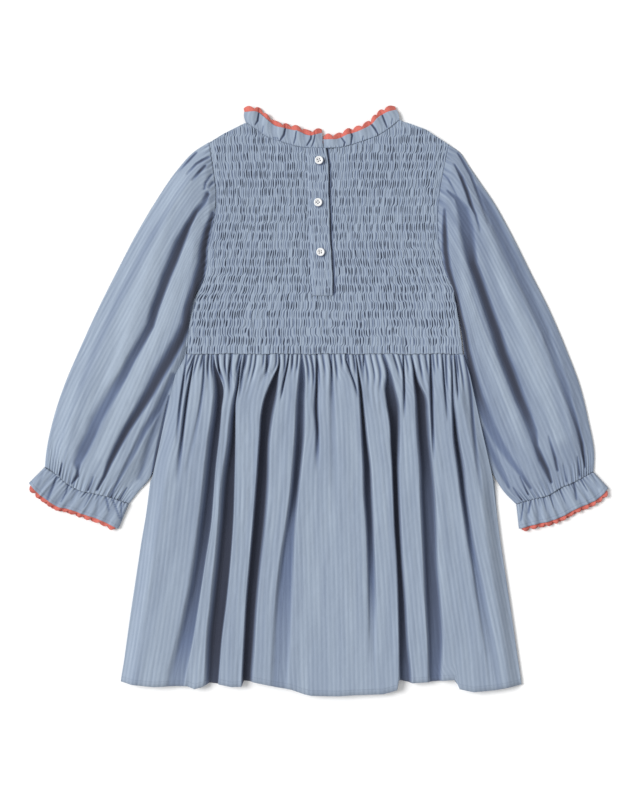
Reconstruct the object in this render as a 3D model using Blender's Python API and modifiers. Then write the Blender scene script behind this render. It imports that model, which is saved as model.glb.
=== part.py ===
# A child's smocked dress in striped cotton, laid flat with its buttoned back upward.
# The tables are in millimetres: x to the right, y towards the neck, z up from the
# surface it lies on. Each panel lies on the one beneath it, and the scene is in metres.

import math

import bpy
import numpy as np

MM = 0.001

# Driving dimensions
CLOTH = 1.2  # wall of the gathered cotton
SEAM = 0.3  # gap between two pieces that are sewn together
WAIST_Y = 51.2  # height of the waist seam on the flat dress
BACK_Z = CLOTH + SEAM  # inside of the buttoned back, just above the front panel
ROW_PITCH = 9.5  # one row of shirring elastic to the next
PUFF_PITCH = 9.0  # half of one modelled puff and its neighbour
PUFF_RISE = 2.3  # height of a puff over the stitched line
SMOCK_BASE = 1.5  # smocked cloth at a stitched line
PUFF_LEAST = 0.3  # the lowest and the highest puff, as shares of the rise
PUFF_MOST = 1.1
PUFF_BETWEEN = 0.45  # height of the cloth between two puffs, as a share of a puff's
UNEVEN = 0.12  # how far puffs and stitched lines stray, as a share
LINE_TURN = (0.9, 0.7)  # how the stitched lines wander across the cloth and along it
BRAID = 1.1  # thickness of the zigzag braid
BUTTON_R = 4.55
BUTTON_H = 2.2
BUTTON_HOLE_R = 0.65
BUTTON_HOLE_OFFSET = 1.2
BUTTON_STEPS = 14
BUTTON_PROFILE = (  # half of its section: distance from the middle, height
    (0, 1.3),
    (2.7, 1.3),
    (3.2, 2.0),
    (3.9, BUTTON_H),
    (BUTTON_R, 1.5),
    (4.2, 0.3),
    (3.6, 0),
    (0, 0),
)
HOLE_SIDES = 6
HOLE_DEPTH = 8
SKIRT_ROWS = (50.9, 45, 34, 16, -12, -50, -100, -160, -220, -270, -304, -313)
SLEEVE_ACROSS = 16
SLEEVE_ALONG = 12
LOWER_STEP = 2  # the layer on the surface has this many times longer cells

# Colours of the finishes, linear
BLUE = (0.27, 0.34, 0.44, 1)
CORAL = (0.80, 0.16, 0.12, 1)
WHITE = (0.86, 0.86, 0.84, 1)

# Sides of the skirt: y, left x, right x
SKIRT_SIDES = (
    (51.2, -146.9, 156.8),
    (28, -159.5, 164.0),
    (-25, -171.5, 175.5),
    (-82, -184.0, 188.5),
    (-154, -196.5, 197.5),
    (-233, -208.5, 209.5),
    (-313, -219.5, 221.0),
)

# Hem of the skirt: x, y, with a step where one fold hangs over the next
HEM = (
    (-219.5, -308.6),
    (-183, -314.0),
    (-138, -316.3),
    (-121.5, -309.7),
    (-86.4, -313.5),
    (-84.0, -307.5),
    (-49, -314.0),
    (-18, -321.8),
    (20, -324.0),
    (69, -321.8),
    (84.2, -317.4),
    (87.0, -306.4),
    (118, -308.6),
    (148, -306.4),
    (152.5, -316.3),
    (168, -319.6),
    (191, -317.4),
    (221, -311.9),
)

# Skirt folds. Each row is one valley, with its x and its depth at these heights,
# the softness of its left and right side, and the grid cells up to the next valley.
FOLD_Y = (51, 12, -44, -132, -220, -313)
FOLDS = (
    ((-135, -146, -154, -169, -180, -191), (2, 4, 3, 1, 0.5, 0.5), 4, 4, 6),
    ((-118, -114, -116, -130, -144, -160), (2, 8, 9, 8.5, 7, 5), 9, 5, 8),
    ((-91, -93, -97, -103, -110, -119), (2, 9, 11, 10, 9, 7), 8, 5, 12),
    ((-46, -52, -63, -71, -77, -85), (2, 9, 11, 11, 10.5, 8.5), 4, 8, 8),
    ((-21, -20, -24, -32, -39, -42), (2, 5, 7, 4, 2, 1.5), 7, 7, 8),
    ((10, 11, 15, 17, 14, 12), (2, 4, 4, 3, 2, 1.5), 9, 9, 8),
    ((39, 41, 46, 53, 52, 50), (2, 6, 9, 7, 3, 1.5), 4, 7, 8),
    ((66, 74, 81, 83, 87, 86), (2, 9, 11, 10.5, 10, 8), 4, 7, 8),
    ((100, 105, 111, 117, 122, 126), (2, 8, 10.5, 9, 8, 5.5), 8, 7, 12),
    ((141, 142, 147, 161, 184, 205), (2, 5, 8, 7, 3.5, 2), 5, 6, 4),
)
FIRST_CELLS = 4

# Height of the skirt's crests, of its sides, and of the waist gathers: y, three heights
SKIRT_RISE = (
    (51.2, 4.9, 4.9, 1.3),
    (45, 6.4, 5.6, 2.0),
    (34, 8.8, 5.9, 2.2),
    (16, 12.0, 6.0, 1.6),
    (-12, 13.6, 6.0, 0.6),
    (-50, 14.2, 6.0, 0.0),
    (-86, 14.2, 5.9, 0.0),
    (-112, 14.0, 3.3, 0.0),
    (-220, 12.6, 3.1, 0.0),
    (-313, 11.0, 3.1, 0.0),
)
VALLEY_Z = 3.4
STEEP_LEAST = 1.15  # a wall is this much deeper than the cloth, seen straight down
STEEP_MOST = 1.9
SIDE_ROLL = 17.0
LOWER_INSET = 1.2  # the skirt's front stays this far inside the back
LOWER_SHARE = 0.995
WIDTH_AT_WAIST = 0.45
WIDTH_AT_HEM = 1.25

# Bodice: its sides up to the armhole, the armhole up to the shoulder, the shoulder
LEFT_SIDE = ((-146.5, 51.5), (-144.5, 80), (-141.0, 106), (-138.8, 112.8))
LEFT_ARMHOLE = (
    (-138.8, 112.8),
    (-131.2, 126),
    (-126.8, 137),
    (-123.5, 167),
    (-115.8, 208),
    (-114.8, 227),
    (-118.0, 256),
    (-122.4, 283.5),
)
LEFT_SHOULDER = ((-122.4, 283.5), (-106, 293.2), (-85.3, 304.2))
RIGHT_SIDE = ((156.4, 51.5), (153.0, 80), (148.8, 106.2))
RIGHT_ARMHOLE = (
    (148.8, 106.2),
    (145.4, 124),
    (138.2, 139),
    (133.4, 155),
    (129.0, 208.5),
    (131.2, 231.6),
    (136.0, 258),
    (140.8, 281),
)
RIGHT_SHOULDER = ((140.8, 281), (116, 297.6), (86.4, 308.6))
BLOCK_X = (-150.4, 162)  # the smocked cloth before it is cut to its outline
BLOCK_Y = (50.5, 312)
CUT_BELOW = 5  # a cutter reaches this far below the cloth, and this far above
CUT_ABOVE = 15

# Neck seam and the top edge of the frill that stands on it, left and right of the opening
LEFT_NECK = (
    (-81, 305.3),
    (-71, 298.7),
    (-60, 291),
    (-42, 284.4),
    (-27, 280),
    (-12, 277.8),
    (2.6, 277.6),
)
LEFT_FRILL = (
    (-83.6, 317),
    (-68, 316.3),
    (-59, 308.6),
    (-48, 301),
    (-38, 298.7),
    (-24, 295.4),
    (-12, 291),
    (1.7, 294),
)
RIGHT_NECK = (
    (3.6, 277.6),
    (22.6, 278.9),
    (36, 282.2),
    (49, 286.6),
    (62, 291.2),
    (74, 298.7),
    (86.0, 308.4),
)
RIGHT_FRILL = (
    (3.2, 286.8),
    (17, 287),
    (30, 292),
    (46, 297.6),
    (57, 304.2),
    (64, 311.5),
    (72, 316),
    (83, 319.5),
)
NECK_WAVES = 5
NECK_CELLS = 6  # grid cells in one wave
FRILL_ROWS = 3
NECK_SEAM_Z = 5.2
FRILL_DROP = 0.9  # from its seam to its edge the frill leans down by this
FRILL_WAVE = (0.4, 3.2)  # height of its waves at the seam, and what the edge adds
FRONT_DROP = 3.0  # the front frill stays this much below the back one
FRONT_DIP_Y = 286.0
FRONT_POINTS = 33

# Zigzag braid: how far it reaches beyond the cloth, its bumps, and what is sewn under
BRAID_OUT = 3.4
BRAID_WAVE = 1.5
BRAID_UNDER = 1.2
BRAID_CLEAR = 0.45  # gap from the cloth's edge to a braid that lies beside it
NECK_BUMP = 4  # grid points in one of its bumps behind the neck frill
SHORT_BUMP = 2  # and in one at the cuffs and the front of the neck

# Placket: overlap edge of the buttoned strip, and the buttons' places
OVERLAP_EDGE = ((6.0, 277.2), (8.2, 257), (9.4, 217), (10.5, 179), (12.5, 149), (13.8, 115))
STRIP_WIDTH = 23.0
SLIT = 1.0
SLIT_BACK = 5.0  # the slit lies this far under the strip
SLIT_END = 4.0
STRIP_TOP = ((-17.5, 278.0), (-8, 277.2))  # where the strip ends at the neck seam
STRIP_X = (-24, 21)
STRIP_Y = (112, 290)
STRIP_FINER = 1.5  # its puffs are this much narrower, and lower
STRIP_RISE = 0.8
STRIP_POINTS = 9
BUTTON_SINK = 0.9  # a button's seat above the strip's plain thickness
BUTTONS = (
    ("button_top", -1.6, 263.5),
    ("button_middle", -2.7, 217.3),
    ("button_low", 0.0, 162.8),
)

# Sleeves: the outer fold from shoulder to cuff, and the fold beside the skirt
LEFT_OUTER = (
    (-122.8, 283.9),
    (-139, 273.4),
    (-159, 251.4),
    (-180, 220.6),
    (-201, 185.4),
    (-224, 141.4),
    (-246, 97.4),
    (-266, 53.4),
    (-281, 18.2),
    (-294, -21.5),
    (-302, -61),
    (-303, -73),
)
LEFT_INNER = (
    (-140.3, 112.4),
    (-145.6, 100),
    (-147.6, 80),
    (-149.0, 50),
    (-152.0, 28),
    (-163.5, -25),
    (-174, -56),
    (-188.5, -87),
    (-200.5, -100.5),
    (-210.5, -113.5),
)
LEFT_CUFF = (
    (-303, -73),
    (-289, -82),
    (-277, -91.9),
    (-262, -99.6),
    (-249, -102),
    (-236, -105),
    (-210.5, -113.5),
)
LEFT_CUFF_EDGE = (
    (-320.5, -90.5),
    (-309, -103),
    (-300, -109.5),
    (-289, -116.5),
    (-276, -119.4),
    (-262, -124.5),
    (-245, -130),
    (-222, -141),
)
RIGHT_OUTER = (
    (141.2, 281.4),
    (152.4, 273.4),
    (164.5, 255.8),
    (176.6, 238.2),
    (188.7, 220.6),
    (208.5, 185.4),
    (230.5, 141.4),
    (252.5, 97.4),
    (271.2, 53.4),
    (284.4, 18.2),
    (294.3, -21.5),
    (300.9, -61.1),
    (300, -78.5),
)
RIGHT_INNER = (
    (149.6, 105.6),
    (154.8, 80),
    (158.4, 52),
    (159, 28),
    (168, -25),
    (178, -56),
    (193, -87.5),
    (202, -100.7),
    (215, -113.9),
)
RIGHT_CUFF = (
    (300, -78.5),
    (286.6, -85.3),
    (275.6, -90.8),
    (264.6, -95.2),
    (250, -104),
    (234, -108.4),
    (215, -113.9),
)
RIGHT_CUFF_EDGE = (
    (316.5, -96),
    (305, -107.5),
    (293, -113.9),
    (282, -118.3),
    (267, -126.5),
    (252, -132.5),
    (238, -135.5),
    (218, -141),
)
ARMHOLE_GAP = 0.7
SIDE_GAP = 1.6  # from the skirt's front to the sleeve's fold
SLEEVE_EDGE_Z = 3.2
SLEEVE_CREST_Z = 11.5
SHOULDER_DROP = 4.0  # the sleeve is this much lower where it is gathered into the bodice
SHOULDER_SHARE = 0.12  # over this share of its length
CUFF_DROP = 4.5
CUFF_SHARE = 0.14
SLEEVE_RISE = 26  # distance from a folded edge to the full height
CREASE_RISE = 15  # distance from a folded edge to a crease's full depth
INNER_FLAT = 13  # the cloth stays low for this far beside the bodice and the skirt
SLEEVE_GATHER = 0.9
CUFF_WAVES = 8
CUFF_CELLS = 3
CUFF_ROWS = 4
CUFF_SEAM_WAVE = 0.35  # height of its waves at the elastic, as a share
CUFF_LOW_Z = 4.9
CUFF_CREST_Z = 8.4
CUFF_SPREAD = 1.0015

# Sleeve creases: x, y, half width and depth along each line, a ridge has a negative depth
LEFT_CREASES = (
    ((-128, 218, 5, 3), (-155, 167, 8, 5), (-178, 106, 9, 5), (-218, 27, 11, 1)),
    ((-200, -23, 7, 1), (-226, -68, 7, 3.5), (-236, -86, 6, 3)),
    ((-136, 272, 3, 2), (-154, 253, 4, 1)),
    ((-127, 262, 3, 2), (-142, 243, 4, 1)),
    ((-150, 240, 12, -1), (-215, 111, 16, -2), (-232, 0, 16, -1)),
)
RIGHT_CREASES = (
    ((138, 228, 5, 3), (163, 205, 7, 5), (166, 162, 8, 5), (188, 87, 9, 5), (220, 7, 10, 1)),
    ((224, -14, 7, 1), (244, -57, 7, 3.5), (260, -78, 6, 3)),
    ((146, 251, 3, 2), (158, 238, 4, 2), (169, 204, 4, 1)),
    ((154, 272, 3, 2), (170, 236, 4, 1)),
    ((180, 225, 12, -1), (222, 120, 16, -2), (250, 10, 16, -1)),
)


def clear_scene():
    """Start from an empty scene."""
    for old in list(bpy.data.objects):
        bpy.data.objects.remove(old, do_unlink=True)


def finish(name, colour, roughness, metallic=0.0):
    """A plain finish for one piece."""
    material = bpy.data.materials.new(name)
    material.use_nodes = True
    shader = material.node_tree.nodes["Principled BSDF"]
    shader.inputs["Base Color"].default_value = colour
    shader.inputs["Roughness"].default_value = roughness
    shader.inputs["Metallic"].default_value = metallic
    return material


def collection(name):
    """A collection of the scene, made when it is first asked for."""
    if name not in bpy.data.collections:
        made = bpy.data.collections.new(name)
        bpy.context.scene.collection.children.link(made)
    return bpy.data.collections[name]


def add_mesh(name, points, faces, colour, roughness=0.9, group="smocked_dress"):
    """One named object from points in millimetres."""
    mesh = bpy.data.meshes.new(name)
    mesh.from_pydata((np.asarray(points, float) * MM).tolist(), [], faces)
    mesh.validate()
    mesh.update()
    piece = bpy.data.objects.new(name, mesh)
    piece.data.materials.append(finish(name, colour, roughness))
    collection(group).objects.link(piece)
    return piece


def smooth(rows, count):
    """Points at even spaces along a smooth curve through rows of x, y."""
    knots = np.array(rows, float)
    run = np.concatenate(([0.0], np.cumsum(np.hypot(*np.diff(knots, axis=0).T))))
    slope = np.gradient(knots, run, axis=0)
    at = np.linspace(0, run[-1], count)
    i = np.clip(np.searchsorted(run, at, side="right") - 1, 0, len(run) - 2)
    span = (run[i + 1] - run[i])[:, None]
    t = (at - run[i])[:, None] / span
    near = (2 * t**3 - 3 * t**2 + 1) * knots[i] + (t**3 - 2 * t**2 + t) * span * slope[i]
    far = (3 * t**2 - 2 * t**3) * knots[i + 1] + (t**3 - t**2) * span * slope[i + 1]
    return near + far


def patch(start, end, first, last):
    """A grid filled in between four edges: start and end run along the first
    index at either end of the second, first and last along the second index."""
    u = np.linspace(0, 1, len(start))[:, None, None]
    v = np.linspace(0, 1, len(first))[None, :, None]
    across = (1 - v) * start[:, None] + v * end[:, None]
    along = (1 - u) * first[None] + u * last[None]
    near = (1 - v) * start[0] + v * end[0]
    far = (1 - v) * start[-1] + v * end[-1]
    return across + along - (1 - u) * near - u * far


def ease(t):
    """Zero below 0, one above 1, and a smooth step between."""
    t = np.clip(t, 0, 1)
    return t * t * (3 - 2 * t)


def crease(plan, rows):
    """Depth at each point of plan of a soft trough along a line of
    rows of x, y, half width and depth, fading past its ends."""
    rows = np.array(rows, float)
    start, step = rows[:-1], np.diff(rows, axis=0)
    flat = plan.reshape(-1, 1, 2)
    along = ((flat - start[:, :2]) * step[:, :2]).sum(2) / (step[:, :2] ** 2).sum(1)
    along = np.clip(along, 0, 1)[..., None]
    nearest = start + along * step
    distance = np.hypot(*np.moveaxis(flat - nearest[..., :2], -1, 0))
    pick = distance.argmin(1)
    every = np.arange(len(pick))
    best = nearest[every, pick]
    depth = best[:, 3] * np.exp(-((distance[every, pick] / best[:, 2]) ** 2))
    return depth.reshape(plan.shape[:2])


def grid_faces(columns, rows, offset=0, closed=False):
    """Quads of a grid of points, wound so that they face up where the first
    index runs to the right and the second one away."""
    i = np.arange(columns if closed else columns - 1)
    a, b = np.meshgrid(i, np.arange(rows - 1), indexing="ij")
    c = (a + 1) % columns
    quads = np.stack((a * rows + b, c * rows + b, c * rows + b + 1, a * rows + b + 1), -1)
    return (quads.reshape(-1, 4) + offset).tolist()


def add_sheet(name, top, colour, wall=CLOTH):
    """A sheet of cloth: an open surface given its wall on the underside."""
    columns, rows = top.shape[:2]
    piece = add_mesh(name, top.reshape(-1, 3), grid_faces(columns, rows), colour)
    solid = piece.modifiers.new("wall", "SOLIDIFY")
    solid.thickness = wall * MM
    solid.offset = -1
    piece.data.shade_smooth()
    return piece


def add_folded_panel(name, top, colour):
    """A folded sheet of cloth as a closed wall. Its underside lies straight below
    each point, deeper where the cloth is steep, so that the wall stays even."""
    columns, rows = top.shape[:2]
    across, along = np.gradient(top, axis=0), np.gradient(top, axis=1)
    facing = np.cross(across, along)
    steep = np.linalg.norm(facing, axis=2) / np.abs(facing[..., 2])
    under = top.copy()
    under[..., 2] -= CLOTH * np.clip(steep, STEEP_LEAST, STEEP_MOST)
    count = columns * rows
    faces = grid_faces(columns, rows)
    faces += [[p + count for p in reversed(quad)] for quad in grid_faces(columns, rows)]
    rim = [a * rows for a in range(columns)] + [(columns - 1) * rows + b for b in range(1, rows)]
    rim += [a * rows + rows - 1 for a in range(columns - 2, -1, -1)] + list(range(rows - 2, 0, -1))
    for a, b in zip(rim, rim[1:] + rim[:1]):
        faces.append([b, a, a + count, b + count])
    points = np.concatenate((top.reshape(-1, 3), under.reshape(-1, 3)))
    return add_mesh(name, points, faces, colour)


def add_outline(name, outline, low, high, colour):
    """A flat panel: a filled outline with its thickness."""
    curve = bpy.data.curves.new(name, "CURVE")
    curve.dimensions = "2D"
    curve.fill_mode = "BOTH"
    curve.extrude = (high - low) / 2 * MM
    line = curve.splines.new("POLY")
    line.points.add(len(outline) - 1)
    for point, (x, y) in zip(line.points, outline):
        point.co = (x * MM, y * MM, 0, 1)
    line.use_cyclic_u = True
    piece = bpy.data.objects.new(name, curve)
    piece.location.z = (high + low) / 2 * MM
    curve.materials.append(finish(name, colour, 0.9))
    collection("smocked_dress").objects.link(piece)
    return piece


def add_tube(name, plan, crest, step, colour):
    """A flattened tube of cloth open at both ends. plan holds the grid seen from
    above, from one folded edge to the other, and crest the height of its upper
    layer. The lower layer lies flat under every step-th column."""
    columns, rows = plan.shape[:2]
    upper = np.dstack((plan, crest))
    inset = (plan[1] - plan[0]) / np.linalg.norm(plan[1] - plan[0], axis=1)[:, None]
    inset_end = (plan[-2] - plan[-1]) / np.linalg.norm(plan[-2] - plan[-1], axis=1)[:, None]
    lower = plan[::-step].copy()
    lower[0] += inset_end * CLOTH
    lower[-1] += inset * CLOTH
    floor = np.dstack((lower, np.full(lower.shape[:2], CLOTH)))
    floor[0, :, :2] += inset_end * CLOTH
    floor[-1, :, :2] += inset * CLOTH
    lower = np.dstack((lower, np.zeros(lower.shape[:2])))
    upper[0, :, 2] = SLEEVE_EDGE_Z / 2
    upper[-1, :, 2] = SLEEVE_EDGE_Z / 2
    outer = np.concatenate((upper, lower))
    within = upper.copy()
    within[..., 2] -= CLOTH
    within[0, :, :2] += inset * CLOTH
    within[-1, :, :2] += inset_end * CLOTH
    within[0, :, 2] = SLEEVE_EDGE_Z / 2
    within[-1, :, 2] = SLEEVE_EDGE_Z / 2
    inner = np.concatenate((within, floor))
    ring = len(outer)
    faces = grid_faces(ring, rows, closed=True)
    count = ring * rows
    faces += [[p + count for p in reversed(q)] for q in grid_faces(ring, rows, closed=True)]
    for i in range(ring):
        a = i * rows
        b = (i + 1) % ring * rows
        faces.append([b, a, a + count, b + count])
        faces.append([a + rows - 1, b + rows - 1, b + rows - 1 + count, a + rows - 1 + count])
    points = np.concatenate((outer.reshape(-1, 3), inner.reshape(-1, 3)))
    return add_mesh(name, points, faces, colour)


def hide_cutter(cutter):
    """A cutter takes no part in the picture or the build."""
    cutter.hide_render = True
    cutter.display_type = "WIRE"


def cut(piece, cutter, operation):
    """Cut a piece by a hidden cutter."""
    hide_cutter(cutter)
    modifier = piece.modifiers.new(operation.lower(), "BOOLEAN")
    modifier.operation = operation
    modifier.object = cutter


def column(rows, at, index):
    """One column of a table read at heights that run downwards."""
    table = np.array(rows, float)
    order = np.argsort(table[:, 0])
    return np.interp(at, table[order, 0], table[order, index])


def skirt_relief(x, y):
    """Height of the skirt's upper panel: soft crests parted by valleys,
    lower at the waist, and rolled down at both sides."""
    crest = column(SKIRT_RISE, y, 1)
    side = column(SKIRT_RISE, y, 2)
    share = (y - FOLD_Y[0]) / (FOLD_Y[-1] - FOLD_Y[0])
    spread = WIDTH_AT_WAIST + (WIDTH_AT_HEM - WIDTH_AT_WAIST) * share
    low = np.zeros_like(x)
    order = slice(None, None, -1)
    for line, depth, soft_left, soft_right, _ in FOLDS:
        away = x - np.interp(y, FOLD_Y[order], line[order])
        width = np.where(away < 0, soft_left, soft_right) * spread
        low += np.interp(y, FOLD_Y[order], depth[order]) * np.exp(-((away / width) ** 2))
    top = np.maximum(crest - low, np.minimum(VALLEY_Z, crest))
    near = np.minimum(x - column(SKIRT_SIDES, y, 1), column(SKIRT_SIDES, y, 2) - x)
    roll = ease(near / SIDE_ROLL)
    return side + (np.maximum(top, VALLEY_Z) - side) * roll


def skirt_back():
    """Gathered back of the skirt, in folds that run from the waist to the hem."""
    rows = np.array(SKIRT_ROWS, float)
    order = slice(None, None, -1)
    guides = [column(SKIRT_SIDES, rows, 1)]
    guides += [np.interp(rows, FOLD_Y[order], fold[0][order]) for fold in FOLDS]
    guides.append(column(SKIRT_SIDES, rows, 2))
    cells = (FIRST_CELLS,) + tuple(fold[4] for fold in FOLDS)
    across = [guides[0][None]]
    for left, right, count in zip(guides, guides[1:], cells):
        share = np.linspace(0, 1, count + 1)[1:, None]
        across.append(left + (right - left) * share)
    x = np.concatenate(across)
    y = np.broadcast_to(rows, x.shape).copy()
    hem = np.interp(x[:, -1], *np.array(HEM).T)
    pull = ease((y - rows[-4]) / (rows[-1] - rows[-4]))
    y += pull * (hem[:, None] - rows[-1])
    z = skirt_relief(x, rows[None, :] + np.zeros_like(x))
    gather = column(SKIRT_RISE, rows, 3)
    flip = np.where(np.arange(len(x)) % 2, 1.0, -1.0)
    z[1:-1] += flip[1:-1, None] * gather
    z = np.maximum(z, VALLEY_Z)
    add_folded_panel("skirt_back", np.dstack((x, y, z))[:, ::-1], BLUE)


def skirt_front():
    """Front of the skirt, flat on the surface under the back."""
    left = [(x + SIDE_GAP, y) for x, y in LEFT_INNER[3:8]]
    right = [(x - SIDE_GAP, y) for x, y in RIGHT_INNER[2:7]]
    left = [(left[0][0], WAIST_Y - SEAM)] + left[1:]
    right = [(right[0][0], WAIST_Y - SEAM)] + right[1:]
    left += [(x + LOWER_INSET, y) for y, x, _ in SKIRT_SIDES[4:6]]
    right += [(x - LOWER_INSET, y) for y, _, x in SKIRT_SIDES[4:6]]
    hem = [(x * LOWER_SHARE, y + LOWER_INSET) for x, y in HEM]
    outline = left + hem + right[::-1]
    add_outline("skirt_front", outline, 0, CLOTH, BLUE)


def bodice_outline(step=1):
    """Outline of the bodice, from the left of the waist seam round to the right,
    with every step-th point of the armholes."""
    halves = []
    for side, armhole, shoulder in (
        (LEFT_SIDE, LEFT_ARMHOLE, LEFT_SHOULDER),
        (RIGHT_SIDE, RIGHT_ARMHOLE, RIGHT_SHOULDER),
    ):
        curve = smooth(armhole, SLEEVE_ACROSS + 1)[::step].tolist()
        halves.append(list(side[:-1]) + curve + list(shoulder[1:]))
    neck = [(x, y - SEAM) for x, y in LEFT_NECK[1:] + RIGHT_NECK[:-1]]
    return halves[0] + neck + halves[1][::-1]


def bodice_front():
    """Front of the bodice, flat on the surface under the smocked back."""
    add_outline("bodice_front", bodice_outline(LOWER_STEP), 0, CLOTH, BLUE)


def smocked_block(name, x, y, low, base, rise, colour, group="smocked_dress"):
    """A block of smocked cloth: rows of puffs on top, and a plain inside.
    Every other row line is the stitched one, and the puffs of one row
    stand between those of the next."""
    i, j = np.meshgrid(np.arange(len(x)), np.arange(len(y)), indexing="ij")
    chance = np.random.default_rng(4)
    stitched = j % 2 == 0
    puff = np.where((i + j // 2) % 2 == 0, 1.0, PUFF_BETWEEN)
    puff = np.clip(puff + UNEVEN * chance.standard_normal(i.shape), PUFF_LEAST, PUFF_MOST)
    height = np.where(stitched, UNEVEN * chance.random(i.shape), puff)
    wave = UNEVEN * ROW_PITCH * np.sin(i * LINE_TURN[0] + j * LINE_TURN[1])
    inside = (j > 0) & (j < len(y) - 1)
    top = np.stack((x[i], y[j] + wave * inside, low + base + rise * height), -1)
    columns, rows = i.shape
    rim = [(a, 0) for a in range(columns)] + [(columns - 1, b) for b in range(1, rows)]
    rim += [(a, rows - 1) for a in range(columns - 2, -1, -1)] + [(0, b) for b in range(rows - 2, 0, -1)]
    under = [(top[a, b, 0], top[a, b, 1], low) for a, b in rim]
    count = columns * rows
    faces = grid_faces(columns, rows)
    ring = len(rim)
    for k, (a, b) in enumerate(rim):
        c, d = rim[(k + 1) % ring]
        faces.append([c * rows + d, a * rows + b, count + k, count + (k + 1) % ring])
    faces.append([count + k for k in range(ring)][::-1])
    points = np.concatenate((top.reshape(-1, 3), np.array(under)))
    return add_mesh(name, points, faces, colour, group=group)


def prism(name, outline, low, high):
    """A hidden cutter with the given outline."""
    count = len(outline)
    points = [(x, y, low) for x, y in outline] + [(x, y, high) for x, y in outline]
    faces = [list(range(count)), list(range(2 * count - 1, count - 1, -1))]
    faces += [[k, count + k, count + (k + 1) % count, (k + 1) % count] for k in range(count)]
    cutter = add_mesh(name, points, faces, WHITE, group="cutters")
    return cutter


def bodice_back():
    """Smocked back of the bodice, cut to its outline, with the slit of the opening
    under the overlapping strip."""
    x = np.arange(*BLOCK_X, PUFF_PITCH)
    y = np.arange(*BLOCK_Y, ROW_PITCH / 2)
    block = smocked_block("bodice_back", x, y, BACK_Z, SMOCK_BASE, PUFF_RISE, BLUE)
    outline = bodice_outline()
    opening = next(k for k, point in enumerate(outline) if point[0] == LEFT_NECK[-1][0]) + 1
    foot_x, foot_y = OVERLAP_EDGE[-1]
    slit = [(foot_x - SLIT_BACK, foot_y + SLIT_END), (foot_x - SLIT_BACK + SLIT, foot_y + SLIT_END)]
    outline = outline[:opening] + slit + outline[opening:]
    cutter = prism("bodice_cutter", outline, BACK_Z - CUT_BELOW, BACK_Z + CUT_ABOVE)
    cut(block, cutter, "INTERSECT")


def placket():
    """Strip of smocked cloth that laps over the opening and carries the buttons."""
    low = BACK_Z + SMOCK_BASE + PUFF_MOST * PUFF_RISE + SEAM
    x = np.arange(*STRIP_X, PUFF_PITCH / STRIP_FINER)
    y = np.arange(*STRIP_Y, ROW_PITCH / 2)
    block = smocked_block("placket", x, y, low, CLOTH, STRIP_RISE, BLUE)
    edge = smooth(OVERLAP_EDGE, STRIP_POINTS)
    left = [(a - STRIP_WIDTH, b) for a, b in edge[1:]]
    outline = [tuple(p) for p in edge[::-1]] + list(STRIP_TOP[::-1]) + left
    cutter = prism("placket_cutter", outline[::-1], low - CUT_BELOW, low + CUT_ABOVE)
    cut(block, cutter, "INTERSECT")
    return low + CLOTH + BUTTON_SINK


def buttons(seat):
    """Four-hole buttons with a raised rim, sewn down the strip."""
    for name, x, y in BUTTONS:
        edges = [(k, k + 1) for k in range(len(BUTTON_PROFILE) - 1)]
        mesh = bpy.data.meshes.new(name)
        mesh.from_pydata([(r * MM, 0, z * MM) for r, z in BUTTON_PROFILE], edges, [])
        piece = bpy.data.objects.new(name, mesh)
        piece.location = (x * MM, y * MM, (seat + SEAM) * MM)
        mesh.materials.append(finish(name, WHITE, 0.35))
        collection("smocked_dress").objects.link(piece)
        turn = piece.modifiers.new("turn", "SCREW")
        turn.steps = BUTTON_STEPS
        turn.render_steps = BUTTON_STEPS
        turn.use_merge_vertices = True
        turn.merge_threshold = 0.00005
        for k in range(4):
            angle = math.radians(45 + 90 * k)
            across = BUTTON_HOLE_OFFSET * math.sqrt(2)
            bpy.ops.mesh.primitive_cylinder_add(
                vertices=HOLE_SIDES,
                radius=BUTTON_HOLE_R * MM,
                depth=HOLE_DEPTH * MM,
                location=(
                    (x + across * math.cos(angle)) * MM,
                    (y + across * math.sin(angle)) * MM,
                    (seat + SEAM + BUTTON_H / 2) * MM,
                ),
            )
            cutter = bpy.context.object
            cutter.name = f"{name}_hole_{k}"
            for old in list(cutter.users_collection):
                old.objects.unlink(cutter)
            collection("cutters").objects.link(cutter)
            cut(piece, cutter, "DIFFERENCE")


def neck_frill(seam, edge):
    """Grid of a gathered frill from its seam to its free edge, in waves that grow
    outwards."""
    columns = NECK_WAVES * NECK_CELLS + 1
    start = smooth(seam, columns)
    end = smooth(edge, columns)
    first = np.linspace(start[0], end[0], FRILL_ROWS)
    last = np.linspace(start[-1], end[-1], FRILL_ROWS)
    plan = patch(start, end, first, last)
    u = np.linspace(0, NECK_WAVES, columns)[:, None]
    v = np.linspace(0, 1, FRILL_ROWS)[None]
    wave = 0.5 - 0.5 * np.cos(2 * np.pi * u)
    z = NECK_SEAM_Z - FRILL_DROP * v + (FRILL_WAVE[0] + FRILL_WAVE[1] * v) * wave
    return np.dstack((plan, z))


def braid_under(name, frill, scallop):
    """Zigzag braid sewn behind the free edge of a frill, made from the frill's own
    points, moved under it. One bump takes scallop points."""
    line = frill[:, -1].copy()
    line[:, 2] -= CLOTH + 2 * SEAM
    out = frill[:, -1, :2] - frill[:, 0, :2]
    out /= np.linalg.norm(out, axis=1)[:, None]
    bump = BRAID_OUT - BRAID_WAVE * np.cos(2 * np.pi * np.arange(len(line)) / scallop)
    inner, outer = line.copy(), line.copy()
    inner[:, :2] -= out * BRAID_UNDER
    outer[:, :2] += out * bump[:, None]
    add_sheet(name, np.stack((inner, outer), 1), CORAL, BRAID)


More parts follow.
